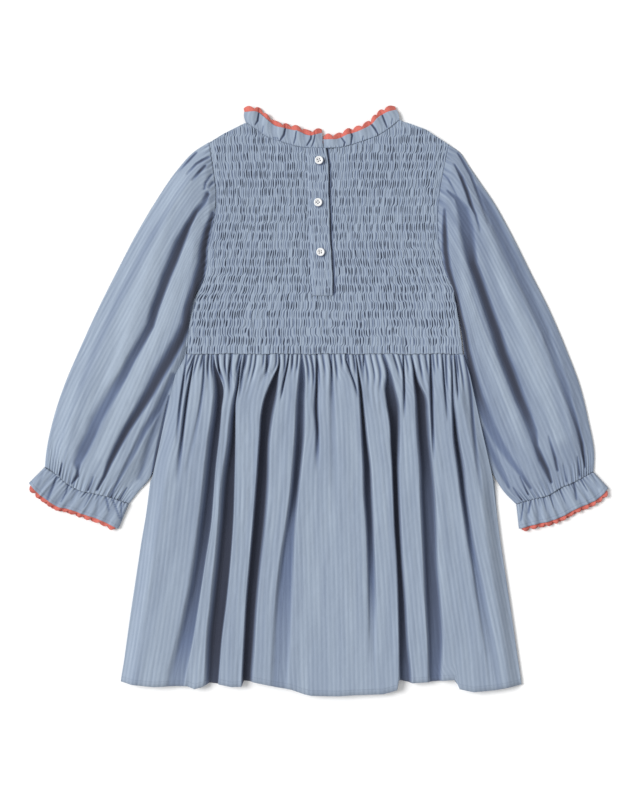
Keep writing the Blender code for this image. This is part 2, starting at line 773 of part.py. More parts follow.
def flat_braid(name, line, away, scallop):
    """Zigzag braid of a lower layer, flat on the surface beside the cloth's edge."""
    run = np.gradient(line, axis=0)
    out = np.stack((-run[:, 1], run[:, 0]), 1)
    out *= np.sign(out[:, 1] * away)[:, None]
    out /= np.linalg.norm(out, axis=1)[:, None]
    bump = BRAID_OUT - BRAID_WAVE * np.cos(2 * np.pi * np.arange(len(line)) / scallop)
    inner = line + out * BRAID_CLEAR
    outer = line + out * bump[:, None]
    add_outline(name, inner.tolist() + outer[::-1].tolist(), 0, BRAID, CORAL)


def neck_frills():
    """Gathered frill round the neck with its braid: the back in two halves
    that meet at the opening, and the front flat beneath them."""
    for side, seam, edge in (("left", LEFT_NECK, LEFT_FRILL), ("right", RIGHT_NECK, RIGHT_FRILL)):
        seam = [(x, y + SEAM) for x, y in seam]
        grid = neck_frill(seam, edge)
        add_sheet(f"neck_frill_{side}", grid, BLUE)
        braid_under(f"neck_braid_{side}", grid, NECK_BUMP)
    low = [(x, y + SEAM) for x, y in LEFT_NECK + RIGHT_NECK]
    edge = LEFT_FRILL[:-2] + ((0, FRONT_DIP_Y),) + RIGHT_FRILL[1:]
    high = smooth([(x * LOWER_SHARE, y - FRONT_DROP) for x, y in edge], FRONT_POINTS)
    add_outline("neck_frill_front", low[::-1] + high.tolist(), 0, CLOTH, BLUE)
    flat_braid("neck_braid_front", high, 1, SHORT_BUMP)


def sleeve(side, outer, inner, armhole, cuff, creases):
    """Full sleeve: a flattened tube with its lower layer on the surface, gathered
    into the armhole and the cuff."""
    columns, rows = SLEEVE_ACROSS + 1, SLEEVE_ALONG + 1
    shift = -ARMHOLE_GAP if side == "left" else ARMHOLE_GAP
    start = smooth([(x + shift, y) for x, y in armhole[::-1]], columns)
    end = smooth(cuff, columns)
    first, last = smooth(outer, rows), smooth(inner, rows)
    start[0], start[-1], end[0], end[-1] = first[0], last[0], first[-1], last[-1]
    plan = patch(start, end, first, last)
    to_outer = np.linalg.norm(plan - plan[:1], axis=2)
    to_inner = np.linalg.norm(plan - plan[-1:], axis=2)
    v = np.linspace(0, 1, rows)[None]
    at_shoulder = ease(1 - v / SHOULDER_SHARE)
    at_cuff = ease((v - 1 + CUFF_SHARE) / CUFF_SHARE)
    crest = SLEEVE_CREST_Z - SHOULDER_DROP * at_shoulder - CUFF_DROP * at_cuff
    inward = to_inner - INNER_FLAT
    body = ease(to_outer / SLEEVE_RISE) * ease(inward / SLEEVE_RISE)
    z = SLEEVE_EDGE_Z + (crest - SLEEVE_EDGE_Z) * body
    for rows_of_crease in creases:
        keep = ease(to_outer / CREASE_RISE) * ease(inward / CREASE_RISE)
        z -= crease(plan, rows_of_crease) * keep
    flip = np.where(np.arange(columns) % 2, 1.0, -1.0)[:, None]
    z[1:-1] += flip[1:-1] * SLEEVE_GATHER * (at_cuff + at_shoulder)
    z = np.maximum(z, SLEEVE_EDGE_Z)
    if side == "right":
        plan, z = plan[::-1], z[::-1]
    add_tube(f"sleeve_{side}", plan[:, ::-1], z[:, ::-1], LOWER_STEP, BLUE)


def cuff(side, seam, edge):
    """Frill below the elastic of the cuff: a short flattened tube in waves,
    with braid at the edge of each layer."""
    columns, rows = CUFF_WAVES * CUFF_CELLS + 1, CUFF_ROWS
    start = smooth([(x * CUFF_SPREAD, y - 2 * SEAM) for x, y in seam], columns)
    end = smooth(edge, columns)
    first = np.linspace(start[0], end[0], rows)
    last = np.linspace(start[-1], end[-1], rows)
    plan = patch(start, end, first, last)
    u = np.linspace(0, CUFF_WAVES, columns)[:, None]
    v = np.linspace(0, 1, rows)[None]
    wave = (0.5 - 0.5 * np.cos(2 * np.pi * u)) * (CUFF_SEAM_WAVE + (1 - CUFF_SEAM_WAVE) * v)
    top = np.dstack((plan, CUFF_LOW_Z + (CUFF_CREST_Z - CUFF_LOW_Z) * wave))
    if side == "right":
        top = top[::-1]
    add_tube(f"cuff_frill_{side}", top[:, ::-1, :2], top[:, ::-1, 2], CUFF_CELLS, BLUE)
    braid_under(f"cuff_braid_{side}", top[SHORT_BUMP:-SHORT_BUMP][::-1], SHORT_BUMP)
    lower = top[CUFF_CELLS:-CUFF_CELLS:CUFF_CELLS, -1, :2]
    between = (lower[1:] + lower[:-1]) / 2
    line = np.empty((len(lower) + len(between), 2))
    line[::2], line[1::2] = lower, between
    flat_braid(f"cuff_braid_{side}_lower", line, -1, SHORT_BUMP)


def build():
    """The whole dress, from the layer on the surface upwards."""
    clear_scene()
    skirt_front()
    bodice_front()
    sleeve("left", LEFT_OUTER, LEFT_INNER, LEFT_ARMHOLE, LEFT_CUFF, LEFT_CREASES)
    sleeve("right", RIGHT_OUTER, RIGHT_INNER, RIGHT_ARMHOLE, RIGHT_CUFF, RIGHT_CREASES)
    cuff("left", LEFT_CUFF, LEFT_CUFF_EDGE)
    cuff("right", RIGHT_CUFF, RIGHT_CUFF_EDGE)
    skirt_back()
    bodice_back()
    buttons(placket())
    neck_frills()


build()
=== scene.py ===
"""The looks of a child's smocked dress in striped blue cotton, laid flat on a pale floor
with its buttoned back upward. Places are in millimetres on the dress: x to the right,
y towards the neck, z up from the floor. Each piece goes where its solid is."""

import bpy
import numpy as np
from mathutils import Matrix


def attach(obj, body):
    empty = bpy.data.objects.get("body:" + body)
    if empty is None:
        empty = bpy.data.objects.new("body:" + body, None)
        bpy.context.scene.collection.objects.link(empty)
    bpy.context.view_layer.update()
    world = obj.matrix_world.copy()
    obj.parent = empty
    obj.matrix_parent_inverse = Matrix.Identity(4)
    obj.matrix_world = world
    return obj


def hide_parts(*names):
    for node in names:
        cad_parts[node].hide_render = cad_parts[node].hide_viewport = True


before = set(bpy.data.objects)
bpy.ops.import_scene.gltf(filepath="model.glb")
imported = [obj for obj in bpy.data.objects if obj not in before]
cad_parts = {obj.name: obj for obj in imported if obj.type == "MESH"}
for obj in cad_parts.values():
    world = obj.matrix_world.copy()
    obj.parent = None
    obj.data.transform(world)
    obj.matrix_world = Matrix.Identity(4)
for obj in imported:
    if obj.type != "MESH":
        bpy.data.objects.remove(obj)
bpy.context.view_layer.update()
MM = 0.001

# The camera hangs straight above the dress, far enough off to show no perspective.
# Its picture is 640 by 800 and takes in 880 mm from top to bottom.
CAMERA_HEIGHT = 2400.0
VIEW_HEIGHT = 880.0
SENSOR = 36.0
VIEW_CENTRE = (-0.55, 0.55)

lens = bpy.data.cameras.new("camera")
lens.sensor_width = SENSOR
lens.lens = SENSOR * CAMERA_HEIGHT / VIEW_HEIGHT
camera = bpy.data.objects.new("camera", lens)
camera.location = (VIEW_CENTRE[0] * MM, VIEW_CENTRE[1] * MM, CAMERA_HEIGHT * MM)
bpy.context.scene.collection.objects.link(camera)
bpy.context.scene.camera = camera


class Wire:
    """One output of a node in a material. Arithmetic on it adds Math nodes."""

    def __init__(self, tree, socket=None):
        self.tree = tree
        self.socket = socket

    def node(self, kind, settings=None, inputs=None, out=0):
        """Add a node: its settings first, then a value or a wire for each input."""
        made = self.tree.nodes.new(kind)
        for name, value in (settings or {}).items():
            setattr(made, name, value)
        for name, value in (inputs or {}).items():
            if isinstance(value, Wire):
                self.tree.links.new(value.socket, made.inputs[name])
            else:
                made.inputs[name].default_value = value
        return Wire(self.tree, made.outputs[out])

    def math(self, operation, *values, clamp=False):
        settings = {"operation": operation, "use_clamp": clamp}
        return self.node("ShaderNodeMath", settings, dict(enumerate((self, *values))))

    def __add__(self, other):
        return self.math("ADD", other)

    __radd__ = __add__

    def __sub__(self, other):
        return self.math("SUBTRACT", other)

    def __rsub__(self, other):
        return self * -1 + other

    def __mul__(self, other):
        return self.math("MULTIPLY", other)

    __rmul__ = __mul__

    def __truediv__(self, other):
        return self.math("DIVIDE", other)

    def clamp(self):
        return self.math("ADD", 0, clamp=True)

    def mix(self, dark, light, blend="MIX"):
        """The colour this far from dark to light."""
        inputs = {0: self, 6: dark, 7: light}
        settings = {"data_type": "RGBA", "blend_type": blend}
        return self.node("ShaderNodeMix", settings, inputs, out=2)

    def noise(self, vector, scale, detail=2, roughness=0.5):
        inputs = {"Vector": vector, "Scale": scale, "Detail": detail, "Roughness": roughness}
        return self.node("ShaderNodeTexNoise", {}, inputs)


def finish(name, roughness):
    """A new material with its shader, and a wire to start its nodes from."""
    material = bpy.data.materials.new(name)
    material.use_nodes = True
    shader = material.node_tree.nodes["Principled BSDF"]
    shader.inputs["Roughness"].default_value = roughness
    return material, shader, Wire(material.node_tree)


def join(wire, shader, socket):
    """Lead a wire into one of the shader's own sockets."""
    wire.tree.links.new(wire.socket, shader.inputs[socket])


# The floor is a sheet of plain white background paper under a big soft lamp, up and to
# the left, with an even white room around it.
FLOOR_Z = -0.4
FLOOR_HALF = 4000.0
LAMP_STRENGTH = 2.6
LAMP_SOFTNESS = 0.5
LAMP_TILT = (0.18, -0.72)
ROOM_STRENGTH = 0.62

paper, paper_shader, start = finish("background_paper", 0.9)
place = start.node("ShaderNodeTexCoord", out=3)
grain = start.noise(place, 900, 3)
join(grain.mix((0.90, 0.90, 0.90, 1), (0.93, 0.93, 0.93, 1)), paper_shader, "Base Color")
floor_mesh = bpy.data.meshes.new("floor")
corners = ((-1, -1), (1, -1), (1, 1), (-1, 1))
floor_mesh.from_pydata(
    [(x * FLOOR_HALF * MM, y * FLOOR_HALF * MM, FLOOR_Z * MM) for x, y in corners],
    [],
    [(0, 1, 2, 3)],
)
floor_mesh.materials.append(paper)
floor = bpy.data.objects.new("floor", floor_mesh)
bpy.context.scene.collection.objects.link(floor)

lamp = bpy.data.lights.new("lamp", "SUN")
lamp.energy = LAMP_STRENGTH
lamp.angle = LAMP_SOFTNESS
lamp_object = bpy.data.objects.new("lamp", lamp)
lamp_object.rotation_euler = (-LAMP_TILT[0], LAMP_TILT[1], 0)
bpy.context.scene.collection.objects.link(lamp_object)
room = bpy.data.worlds.new("room")
room.use_nodes = True
room.node_tree.nodes["Background"].inputs["Color"].default_value = (1, 1, 1, 1)
room.node_tree.nodes["Background"].inputs["Strength"].default_value = ROOM_STRENGTH
bpy.context.scene.world = room
bpy.context.scene.view_settings.view_transform = "Standard"

# The cloth is a light cotton with a self stripe: a raised cord every 5 mm along its
# length, woven a little unevenly. All the blue pieces are cut from it. Each piece has
# its place on the flat cloth as its UV map, in metres, and a shade value that paints
# light and shade into its colour: 0 in the light, 0.5 painted half shade, 1 painted
# shadow at the bottom of a fold, and below 0 a painted highlight on a crest.
STRIPE = 0.005
YARN = 0.0007
COTTON_LIGHT = (0.335, 0.400, 0.487, 1)
COTTON_DARK = (0.250, 0.305, 0.390, 1)
# The next three colours are painted light and shade, taken by each point's shade value: a painted highlight on crests,
# a painted shadow at the bottom of folds, and painted half shade between.
COTTON_PAINTED_HIGHLIGHT = (0.50, 0.585, 0.69, 1)
COTTON_PAINTED_SHADOW = (0.034, 0.040, 0.064, 1)
HALF_SHADE = (0.40, 0.44, 0.57, 1)
THREAD_SHADE = (0.20, 0.245, 0.32, 1)
HEM_WIDTH = 5.5


def striped_cotton():
    """Cotton with its stripe and weave in colour and in relief. The stripe is a sine
    across the cloth, bent and weakened by streaks of noise that run along it."""
    material, shader, start = finish("blue_cotton", 0.88)
    cut = start.node("ShaderNodeUVMap", {"uv_map": "cut"})
    across = start.node("ShaderNodeSeparateXYZ", {}, {0: cut}, out=0)
    along = start.node("ShaderNodeSeparateXYZ", {}, {0: cut}, out=1)
    streak_place = start.node(
        "ShaderNodeCombineXYZ", {}, {0: across * 620, 1: along * 26, 2: 0.0}
    )
    streak = start.noise(streak_place, 1.0, 3, 0.6)
    strand_place = start.node(
        "ShaderNodeCombineXYZ", {}, {0: across * 1500, 1: along * 90, 2: 4.0}
    )
    strand = start.noise(strand_place, 1.0, 2, 0.6)
    strength_place = start.node(
        "ShaderNodeCombineXYZ", {}, {0: across * 130, 1: along * 9, 2: 8.0}
    )
    strength = start.noise(strength_place, 1.0, 1)
    turn = 2 * np.pi / STRIPE
    cord = (across * turn + (streak - 0.5) * 3.0).math("SINE") * 0.5 + 0.5
    yarn_turn = 2 * np.pi / YARN
    weave = (across * yarn_turn).math("SINE") * (along * yarn_turn).math("SINE")
    band = cord * (strength * 1.6 + 0.1)
    tone = (band * 0.60 + streak * 0.6 + strand * 0.55 - 0.42).clamp()
    flat = tone.mix(COTTON_DARK, COTTON_LIGHT)
    hem = start.node("ShaderNodeAttribute", {"attribute_name": "hem"}, out=2)
    row = (1 - (hem - HEM_WIDTH).math("ABSOLUTE") * 1.6).clamp() * 0.6
    dash = ((across * (2 * np.pi / 0.0026)).math("SINE") * 2 + 1.4).clamp()
    stitched = (row * dash * 0.8).mix(flat, THREAD_SHADE)
    # Painted light and shade from each point's shade value: painted highlight below 0, painted half shade up to 0.5 and
    # painted shadow up to 1.
    painted_shade = start.node("ShaderNodeAttribute", {"attribute_name": "shade"}, out=2)
    lit = (painted_shade * -1).clamp().mix(stitched, COTTON_PAINTED_HIGHLIGHT)
    dimmed = (painted_shade * 2).clamp().mix(lit, HALF_SHADE, "MULTIPLY")
    join((painted_shade * 2 - 1).clamp().mix(dimmed, COTTON_PAINTED_SHADOW), shader, "Base Color")
    place = start.node("ShaderNodeTexCoord", out=3)
    rumple = start.noise(place, 55, 3, 0.55)
    relief = cord * 0.06 + streak * 0.12 + strand * 0.10 + weave * 0.012
    relief = relief + rumple * 1.1 - row * 0.35
    bump = start.node("ShaderNodeBump", {}, {"Strength": 1.0, "Distance": MM, "Height": relief})
    join(bump, shader, "Normal")
    join(0.82 + tone * 0.12, shader, "Roughness")
    shader.inputs["Sheen Weight"].default_value = 0.12
    shader.inputs["Sheen Roughness"].default_value = 0.6
    shader.inputs["Specular IOR Level"].default_value = 0.25
    return material


cotton = striped_cotton()


def ease(t):
    """Zero below 0, one above 1, and a smooth step between."""
    t = np.clip(t, 0, 1)
    return t * t * (3 - 2 * t)


def read(rows, at, field=1):
    """A field of a table whose rows start with a height, read at any height."""
    table = np.array(rows, float)
    table = table[table[:, 0].argsort()]
    return np.interp(at, table[:, 0], table[:, field])


def smooth(rows, shares):
    """Points at the given shares of a smooth curve through rows of x, y: cubic pieces
    whose slopes at each row come from its neighbours."""
    knots = np.array(rows, float)
    run = np.concatenate(([0.0], np.cumsum(np.hypot(*np.diff(knots, axis=0).T))))
    slope = np.gradient(knots, run, axis=0)
    at = np.asarray(shares) * run[-1]
    i = np.clip(np.searchsorted(run, at, side="right") - 1, 0, len(run) - 2)
    span = (run[i + 1] - run[i])[:, None]
    t = (at - run[i])[:, None] / span
    near = (2 * t**3 - 3 * t**2 + 1) * knots[i] + (t**3 - 2 * t**2 + t) * span * slope[i]
    far = (3 * t**2 - 2 * t**3) * knots[i + 1] + (t**3 - t**2) * span * slope[i + 1]
    return near + far


def crumple(across, along, shape, seed):
    """Soft random heights from -1 to 1: random values on a coarse grid of across by
    along cells, with eased steps between them."""
    coarse = np.random.default_rng(seed).uniform(-1, 1, (across + 2, along + 2))
    u, v = np.linspace(0, across, shape[0]), np.linspace(0, along, shape[1])
    i, j = u.astype(int), v.astype(int)
    fu, fv = ease(u - i)[:, None], ease(v - j)[None]
    near = coarse[i][:, j] * (1 - fv) + coarse[i][:, j + 1] * fv
    far = coarse[i + 1][:, j] * (1 - fv) + coarse[i + 1][:, j + 1] * fv
    return near * (1 - fu) + far * fu


def cloth(name, points, cut, shade=None, hem=None, wall=1.1, closed=False, material=cotton):
    """A piece of cloth on a grid of points: a quad between each four neighbours, facing
    up where the first index runs right and the second away. cut holds each point's place
    on the flat cloth, with one column more where the grid closes on itself."""
    columns, rows = points.shape[:2]
    i = np.arange(columns if closed else columns - 1)
    a, b = np.meshgrid(i, np.arange(rows - 1), indexing="ij")
    c = (a + 1) % columns
    quads = np.stack((a * rows + b, c * rows + b, c * rows + b + 1, a * rows + b + 1), -1)
    places = np.stack((a * rows + b, (a + 1) * rows + b), -1)
    places = np.concatenate((places, places[..., ::-1] + 1), -1)
    mesh = bpy.data.meshes.new(name)
    mesh.from_pydata((points.reshape(-1, 3) * MM).tolist(), [], quads.reshape(-1, 4).tolist())
    chart = mesh.uv_layers.new(name="cut")
    chart.data.foreach_set("uv", (cut.reshape(-1, 2)[places.ravel()] * MM).ravel())
    for label, values in (("shade", shade), ("hem", hem)):
        if values is not None:
            layer = mesh.attributes.new(label, "FLOAT", "POINT")
            layer.data.foreach_set("value", values.astype(np.float32).ravel())
    mesh.materials.append(material)
    mesh.shade_smooth()
    piece = bpy.data.objects.new(name, mesh)
    bpy.context.scene.collection.objects.link(piece)
    if wall:
        solid = piece.modifiers.new("wall", "SOLIDIFY")
        solid.thickness = wall * MM
        solid.offset = -1
    return piece


def place_piece(piece, slot, *nodes):
    """The piece stands for its solids, which it hides, and hangs from the root body. The slot is not used."""
    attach(piece, "root")
    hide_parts(*nodes)
    return piece


def spread(points, centre=None):
    """Place of each grid point on the flat cloth: the distance along the grid lines
    from the centre column, and along the columns from their first point."""
    across = np.linalg.norm(np.diff(points, axis=0), axis=2)
    u = np.concatenate((np.zeros((1, points.shape[1])), across.cumsum(0)))
    if centre is None:
        centre = points.shape[0] // 2
    u = u - u[centre]
    along = np.linalg.norm(np.diff(points, axis=1), axis=2)
    v = np.concatenate((np.zeros((points.shape[0], 1)), along.cumsum(1)), 1)
    return np.stack((u, v), -1)


# The front of the skirt and of the bodice are plain panels that lie on the floor under
# the gathered back. Only their edges show. They are sewn to the back at the sides.
WALL = 1.1
WAIST_Y = 51.2
FRONT_Z = 1.2
SKIRT_SIDES = (
    (51.2, -146.9, 156.8),
    (28, -159.5, 164.0),
    (-25, -171.5, 175.5),
    (-82, -184.0, 188.5),
    (-154, -196.5, 197.5),
    (-233, -208.5, 209.5),
    (-313, -219.5, 221.0),
)
SKIRT_FRONT_SIDES = (
    (50.9, -147.4, 156.8),
    (28, -150.4, 157.4),
    (-25, -161.9, 166.4),
    (-56, -172.4, 176.4),
    (-87, -186.9, 191.2),
    (-154, -195.3, 196.3),
    (-233, -207.3, 208.3),
    (-313, -218.3, 219.6),
)
HEM = (
    (-219.5, -308.6),
    (-208, -311.5),
    (-183, -314.0),
    (-159, -313.0),
    (-146, -313.0),
    (-138, -316.3),
    (-130, -314.0),
    (-121.5, -309.7),
    (-112, -311.0),
    (-97, -314.0),
    (-86.4, -313.5),
    (-84.0, -307.5),
    (-74, -308.6),
    (-49, -314.0),
    (-32, -316.8),
    (-18, -321.8),
    (-10, -323.6),
    (20, -324.0),
    (36, -322.9),
    (69, -321.8),
    (84.2, -317.4),
    (86.0, -306.4),
    (100, -309.7),
    (118, -308.6),
    (141, -306.4),
    (148, -306.4),
    (152.5, -316.3),
    (168, -319.6),
    (191, -317.4),
    (221, -311.9),
)
HEM_PULL = 30.0  # rows this near to the hem follow its line
FRONT_COLUMNS = 60
FRONT_ROWS = 40


def skirt_hem(x, y, foot):
    """Rows near the foot of the skirt are pulled to the line of its hem."""
    line = np.interp(x[:, -1], *np.array(HEM).T)
    return y + ease((foot + HEM_PULL - y) / HEM_PULL) * (line[:, None] - foot)


rows = np.linspace(50.9, -313, FRONT_ROWS)
left, right = read(SKIRT_FRONT_SIDES, rows), read(SKIRT_FRONT_SIDES, rows, 2)
share = np.linspace(0, 1, FRONT_COLUMNS)[:, None]
x = left + (right - left) * share
y = skirt_hem(x, rows + 0 * x, rows[-1]) + 1.2 * ease((-283 - rows) / HEM_PULL)
grid = np.dstack((x, y, FRONT_Z + 0 * x))[:, ::-1]
skirt_front = place_piece(
    cloth("skirt_front_panel", grid, spread(grid)), "blue_cotton", "skirt_front"
)

LEFT_SIDE = ((51.5, -146.5), (80, -144.5), (106, -141.0), (112.8, -138.8))
LEFT_ARMHOLE = (
    (-138.8, 112.8),
    (-131.2, 126),
    (-126.8, 137),
    (-123.5, 167),
    (-115.8, 208),
    (-114.8, 227),
    (-118.0, 256),
    (-122.4, 283.5),
)
RIGHT_SIDE = ((51.5, 156.4), (80, 153.0), (106.2, 148.8))
RIGHT_ARMHOLE = (
    (148.8, 106.2),
    (145.4, 124),
    (138.2, 139),
    (133.4, 155),
    (129.0, 208.5),
    (131.2, 231.6),
    (136.0, 258),
    (140.8, 281),
)
# The top edge of the bodice: left shoulder, neck seam, right shoulder
BODICE_TOP = (
    (-122.4, 283.5),
    (-106, 293.2),
    (-86.5, 303.0),
    (-81.6, 305.2),
    (-78, 303.2),
    (-71, 298.6),
    (-60, 290.7),
    (-42, 284.1),
    (-27, 279.7),
    (-12, 277.5),
    (2.6, 277.3),
    (22.6, 278.6),
    (36, 281.9),
    (49, 286.3),
    (62, 290.9),
    (74, 298.4),
    (86.4, 308.4),
    (116, 297.6),
    (140.8, 281),
)
CURVE_SHARES = np.linspace(0, 1, 60)


def bodice_side(side, armhole, y):
    """Distance from the middle of the bodice's side seam and armhole at height y."""
    curve = smooth(armhole, CURVE_SHARES)[:, ::-1].tolist()
    return read(list(side[:-1]) + curve, y)


def bodice_plan(shares, y, step=0.03):
    """Grid of points over the bodice. Columns follow each side's mean over the heights
    nearby, and the side itself only close to it. Rows lie level, and those that would
    stand above the shoulders or neck are laid close together along that edge."""
    sides = ((LEFT_SIDE, LEFT_ARMHOLE), (RIGHT_SIDE, RIGHT_ARMHOLE))
    left, right = (bodice_side(*side, y) for side in sides)
    nearby = (-24, -16, -8, 0, 8, 16, 24)
    calm_left, calm_right = (sum(bodice_side(*side, y + d) for d in nearby) / 7 for side in sides)
    x = calm_left + (calm_right - calm_left) * shares
    x = x + (left - calm_left) * np.exp(-shares / 0.06)
    x = x + (right - calm_right) * np.exp(-(1 - shares) / 0.06)
    top = np.interp(x, *np.array(BODICE_TOP).T)
    spare = step * np.arange(x.shape[1])[::-1]
    return x, np.minimum(y + 0 * x, top - spare)


share = np.linspace(0, 1, FRONT_COLUMNS)[:, None]
x, y = bodice_plan(share, np.linspace(51.5, 308, FRONT_ROWS)[None])
grid = np.dstack((x, y, FRONT_Z + 0 * x))
bodice_front = place_piece(
    cloth("bodice_front_panel", grid, spread(grid)), "blue_cotton", "bodice_front"
)

# The sleeves are full tubes, gathered at the shoulder and again into the cuff's elastic.
# They lie slack beside the bodice, with one long fold where the cloth has sunk.
SLEEVE_ACROSS = 168
SLEEVE_ALONG = 220
SLEEVE_UNDER = 12
LEFT_OUTER = (
    (-122.8, 283.9),
    (-139, 273.4),
    (-159, 251.4),
    (-180, 220.6),
    (-201, 185.4),
    (-224, 141.4),
    (-246, 97.4),
    (-266, 53.4),
    (-281, 18.2),
    (-294, -21.5),
    (-302, -61),
    (-303, -73),
)
LEFT_INNER = (
    (-140.3, 112.4),
    (-145.6, 100),
    (-147.6, 80),
    (-149.0, 50),
    (-152.0, 28),
    (-163.5, -25),
    (-174, -56),
    (-188.5, -87),
    (-200.5, -100.5),
    (-210.5, -113.5),
)
LEFT_CUFF = (
    (-303, -73),
    (-289, -82),
    (-277, -91.9),
    (-262, -99.6),
    (-249, -102),
    (-236, -105),
    (-210.5, -113.5),
)
RIGHT_OUTER = (
    (141.2, 281.4),
    (152.4, 273.4),
    (164.5, 255.8),
    (176.6, 238.2),
    (188.7, 220.6),
    (208.5, 185.4),
    (230.5, 141.4),
    (252.5, 97.4),
    (271.2, 53.4),
    (284.4, 18.2),
    (294.3, -21.5),
    (300.9, -61.1),
    (300, -78.5),
)
RIGHT_INNER = (
    (149.6, 105.6),
    (154.8, 80),
    (158.2, 52),
    (158.7, 28),
    (167.6, -25),
    (177.6, -56),
    (193, -87.5),
    (202, -100.7),
    (215, -113.9),
)
RIGHT_CUFF = (
    (300, -78.5),
    (286.6, -85.3),
    (275.6, -90.8),
    (264.6, -95.2),
    (250, -104),
    (234, -108.4),
    (215, -113.9),
)
ARMHOLE_GAP = 0.08
EDGE_Z = 1.6
SLEEVE_Z = 3.2
SLEEVE_CREST = 11.5
CAP_SEAM_Z = 4.2
EDGE_ROLL = 4.0

# Folds of the sleeves. Each opens with how much softer it is to the left and to the
# right, and goes down its line: x, y, half width, depth and how dark it lies, which is
# painted shade, or painted highlight on the rows below 0.
LEFT_FOLDS = (
    (1.0, 1.0, (
        (-166, 5, 1.0, 1, 0.4), (-173.5, -27, 1.3, 1.5, 0.8), (-180, -58, 1.9, 1.5, 0.95),
        (-184.5, -80, 1.5, 1, 0.8), (-187, -90, 0.8, 1, 0.4),
    )),
    (1.9, 1.0, (
        (-123.3, 226, 1.8, 1.5, 0.9), (-127.5, 216, 1.8, 1.5, 0.55), (-135.9, 206.3, 1.8, 2, 0.95),
        (-144.3, 190.9, 2.4, 4, 1), (-152.8, 171.3, 3.5, 5, 1), (-159.7, 153, 3.7, 5, 0.98),
        (-166.8, 136.2, 3.6, 5, 0.96), (-173.8, 116.6, 3.2, 5, 0.95), (-179.4, 101.1, 3.2, 5, 0.92),
        (-185, 81.5, 3.0, 4.5, 0.88), (-193.6, 65.6, 3.0, 4, 0.8), (-205.5, 45, 3.2, 3.5, 0.7),
        (-214.3, 27.3, 3.4, 3, 0.66), (-226, 8.3, 4.5, 2.5, 0.5), (-243.8, -22.8, 4.6, 3, 0.52),
        (-249.6, -37.5, 4.2, 3, 0.62), (-258.5, -55.2, 4.2, 3, 0.64), (-265, -68, 3.2, 2, 0.5),
        (-265.5, -77, 0.9, 2, 0.7), (-265.8, -82.7, 1.4, 2, 0.95), (-272.5, -91, 0.8, 1, 0.7),
    )),
    (1.6, 1.1, (
        (-117.7, 205, 1.6, 1, 0.8), (-123.3, 188, 2.6, 2, 1), (-127.5, 168.9, 3.2, 2, 1),
        (-128.9, 150, 3.5, 3, 1), (-131.7, 136.2, 4.4, 3, 1), (-138.7, 117.9, 3.4, 3, 1),
        (-144.3, 101.1, 3.4, 3, 1), (-146.8, 83.3, 4.0, 3, 1), (-153.9, 65.5, 4.5, 4, 1),
        (-165.6, 44.6, 4.8, 4.5, 0.98), (-176, 27.3, 4.8, 4.5, 0.98), (-186.2, 8.3, 4.3, 4.5, 0.98),
        (-198.1, -11, 3.5, 4.5, 0.98), (-211.3, -31.7, 3.1, 4.5, 1), (-221.7, -50.8, 2.7, 4, 1),
        (-230.5, -68.5, 2.1, 3, 1), (-236.4, -83, 1.3, 2.5, 0.97), (-244.8, -98, 0.8, 1.5, 0.9),
    )),
    (1.4, 1.4, (
        (-161.2, 27.3, 2.6, 1.5, 0.42), (-178.9, -11, 2.6, 2, 0.5), (-192.2, -31.7, 2.5, 2, 0.5),
        (-202.5, -52.3, 2.2, 2, 0.42), (-220, -84.7, 1.3, 1.5, 0.4), (-226.2, -97, 0.7, 1, 0.6),
        (-230.5, -107, 1.0, 1, 0.95),
    )),
    (1.2, 1.2, ((-168, 5, 2.6, 1, 0.32), (-187, -45, 3, 1.5, 0.4), (-199, -85, 2.4, 1, 0.3))),
    (1.0, 1.8, ((-137.3, 272.3, 1.0, 1.2, 0.9), (-146, 263, 1.1, 1.2, 0.85), (-157, 251, 0.9, 0.8, 0.15))),
    (1.0, 1.8, (
        (-123.5, 267.6, 0.9, 0.8, 0.45), (-130.3, 264, 1.1, 1.2, 0.9), (-136.5, 260, 1.0, 1.2, 0.8),
        (-146.5, 249, 1.0, 0.8, 0.2),
    )),
    (1.0, 1.6, ((-127, 257.5, 1.2, 1.2, 0.9), (-133, 251, 1.3, 1.5, 0.98), (-140, 242, 1.2, 1, 0.25))),
    (1.0, 1.0, ((-119.4, 248.5, 0.9, 1, 0.5), (-126.1, 239, 1.3, 1.2, 0.8), (-127.5, 231.6, 1.0, 1, 0.5))),
    (1.0, 1.0, ((-118.5, 240, 1.0, 0.8, 0.6), (-122.5, 233, 0.9, 0.8, 0.4))),
    (1.0, 1.0, ((-283.5, -69.2, 0.8, 1, 0.3), (-286.8, -81.8, 1.0, 1.2, 0.9))),
    (1.0, 1.0, ((-248.9, -84, 0.8, 1, 0.3), (-251.5, -91, 0.9, 1, 0.8), (-254.8, -98.5, 0.9, 1, 0.9))),
    (1.0, 1.0, ((-212.7, -96, 0.8, 1, 0.4), (-220.3, -108.8, 1.0, 1, 0.9))),
    (1.0, 1.0, (
        (-160, 222, 4, 0.4, 0), (-183, 182, 6, 1.2, 0.24), (-203, 140, 6, 1, 0.22), (-223, 105, 5.5, 0.8, 0.2),
        (-246, 55, 6, 1, 0.2), (-260, 20, 6, 0.8, 0.16), (-268, -10, 5, 0.4, 0),
    )),
    (1.0, 1.0, ((-164, 206, 5, -0.6, 0), (-189, 139, 9, -1.6, -0.3), (-207.5, 90, 9, -1.6, -0.3),
                (-229, 20, 8, -1, -0.16), (-252, -50, 7, -0.6, 0))),
    (1.0, 1.0, ((-143, 170, 5, -0.6, -0.1), (-172, 85, 7, -1, -0.22), (-210, 5, 7, -1, -0.2),
                (-240, -60, 6, -0.6, -0.1))),
)
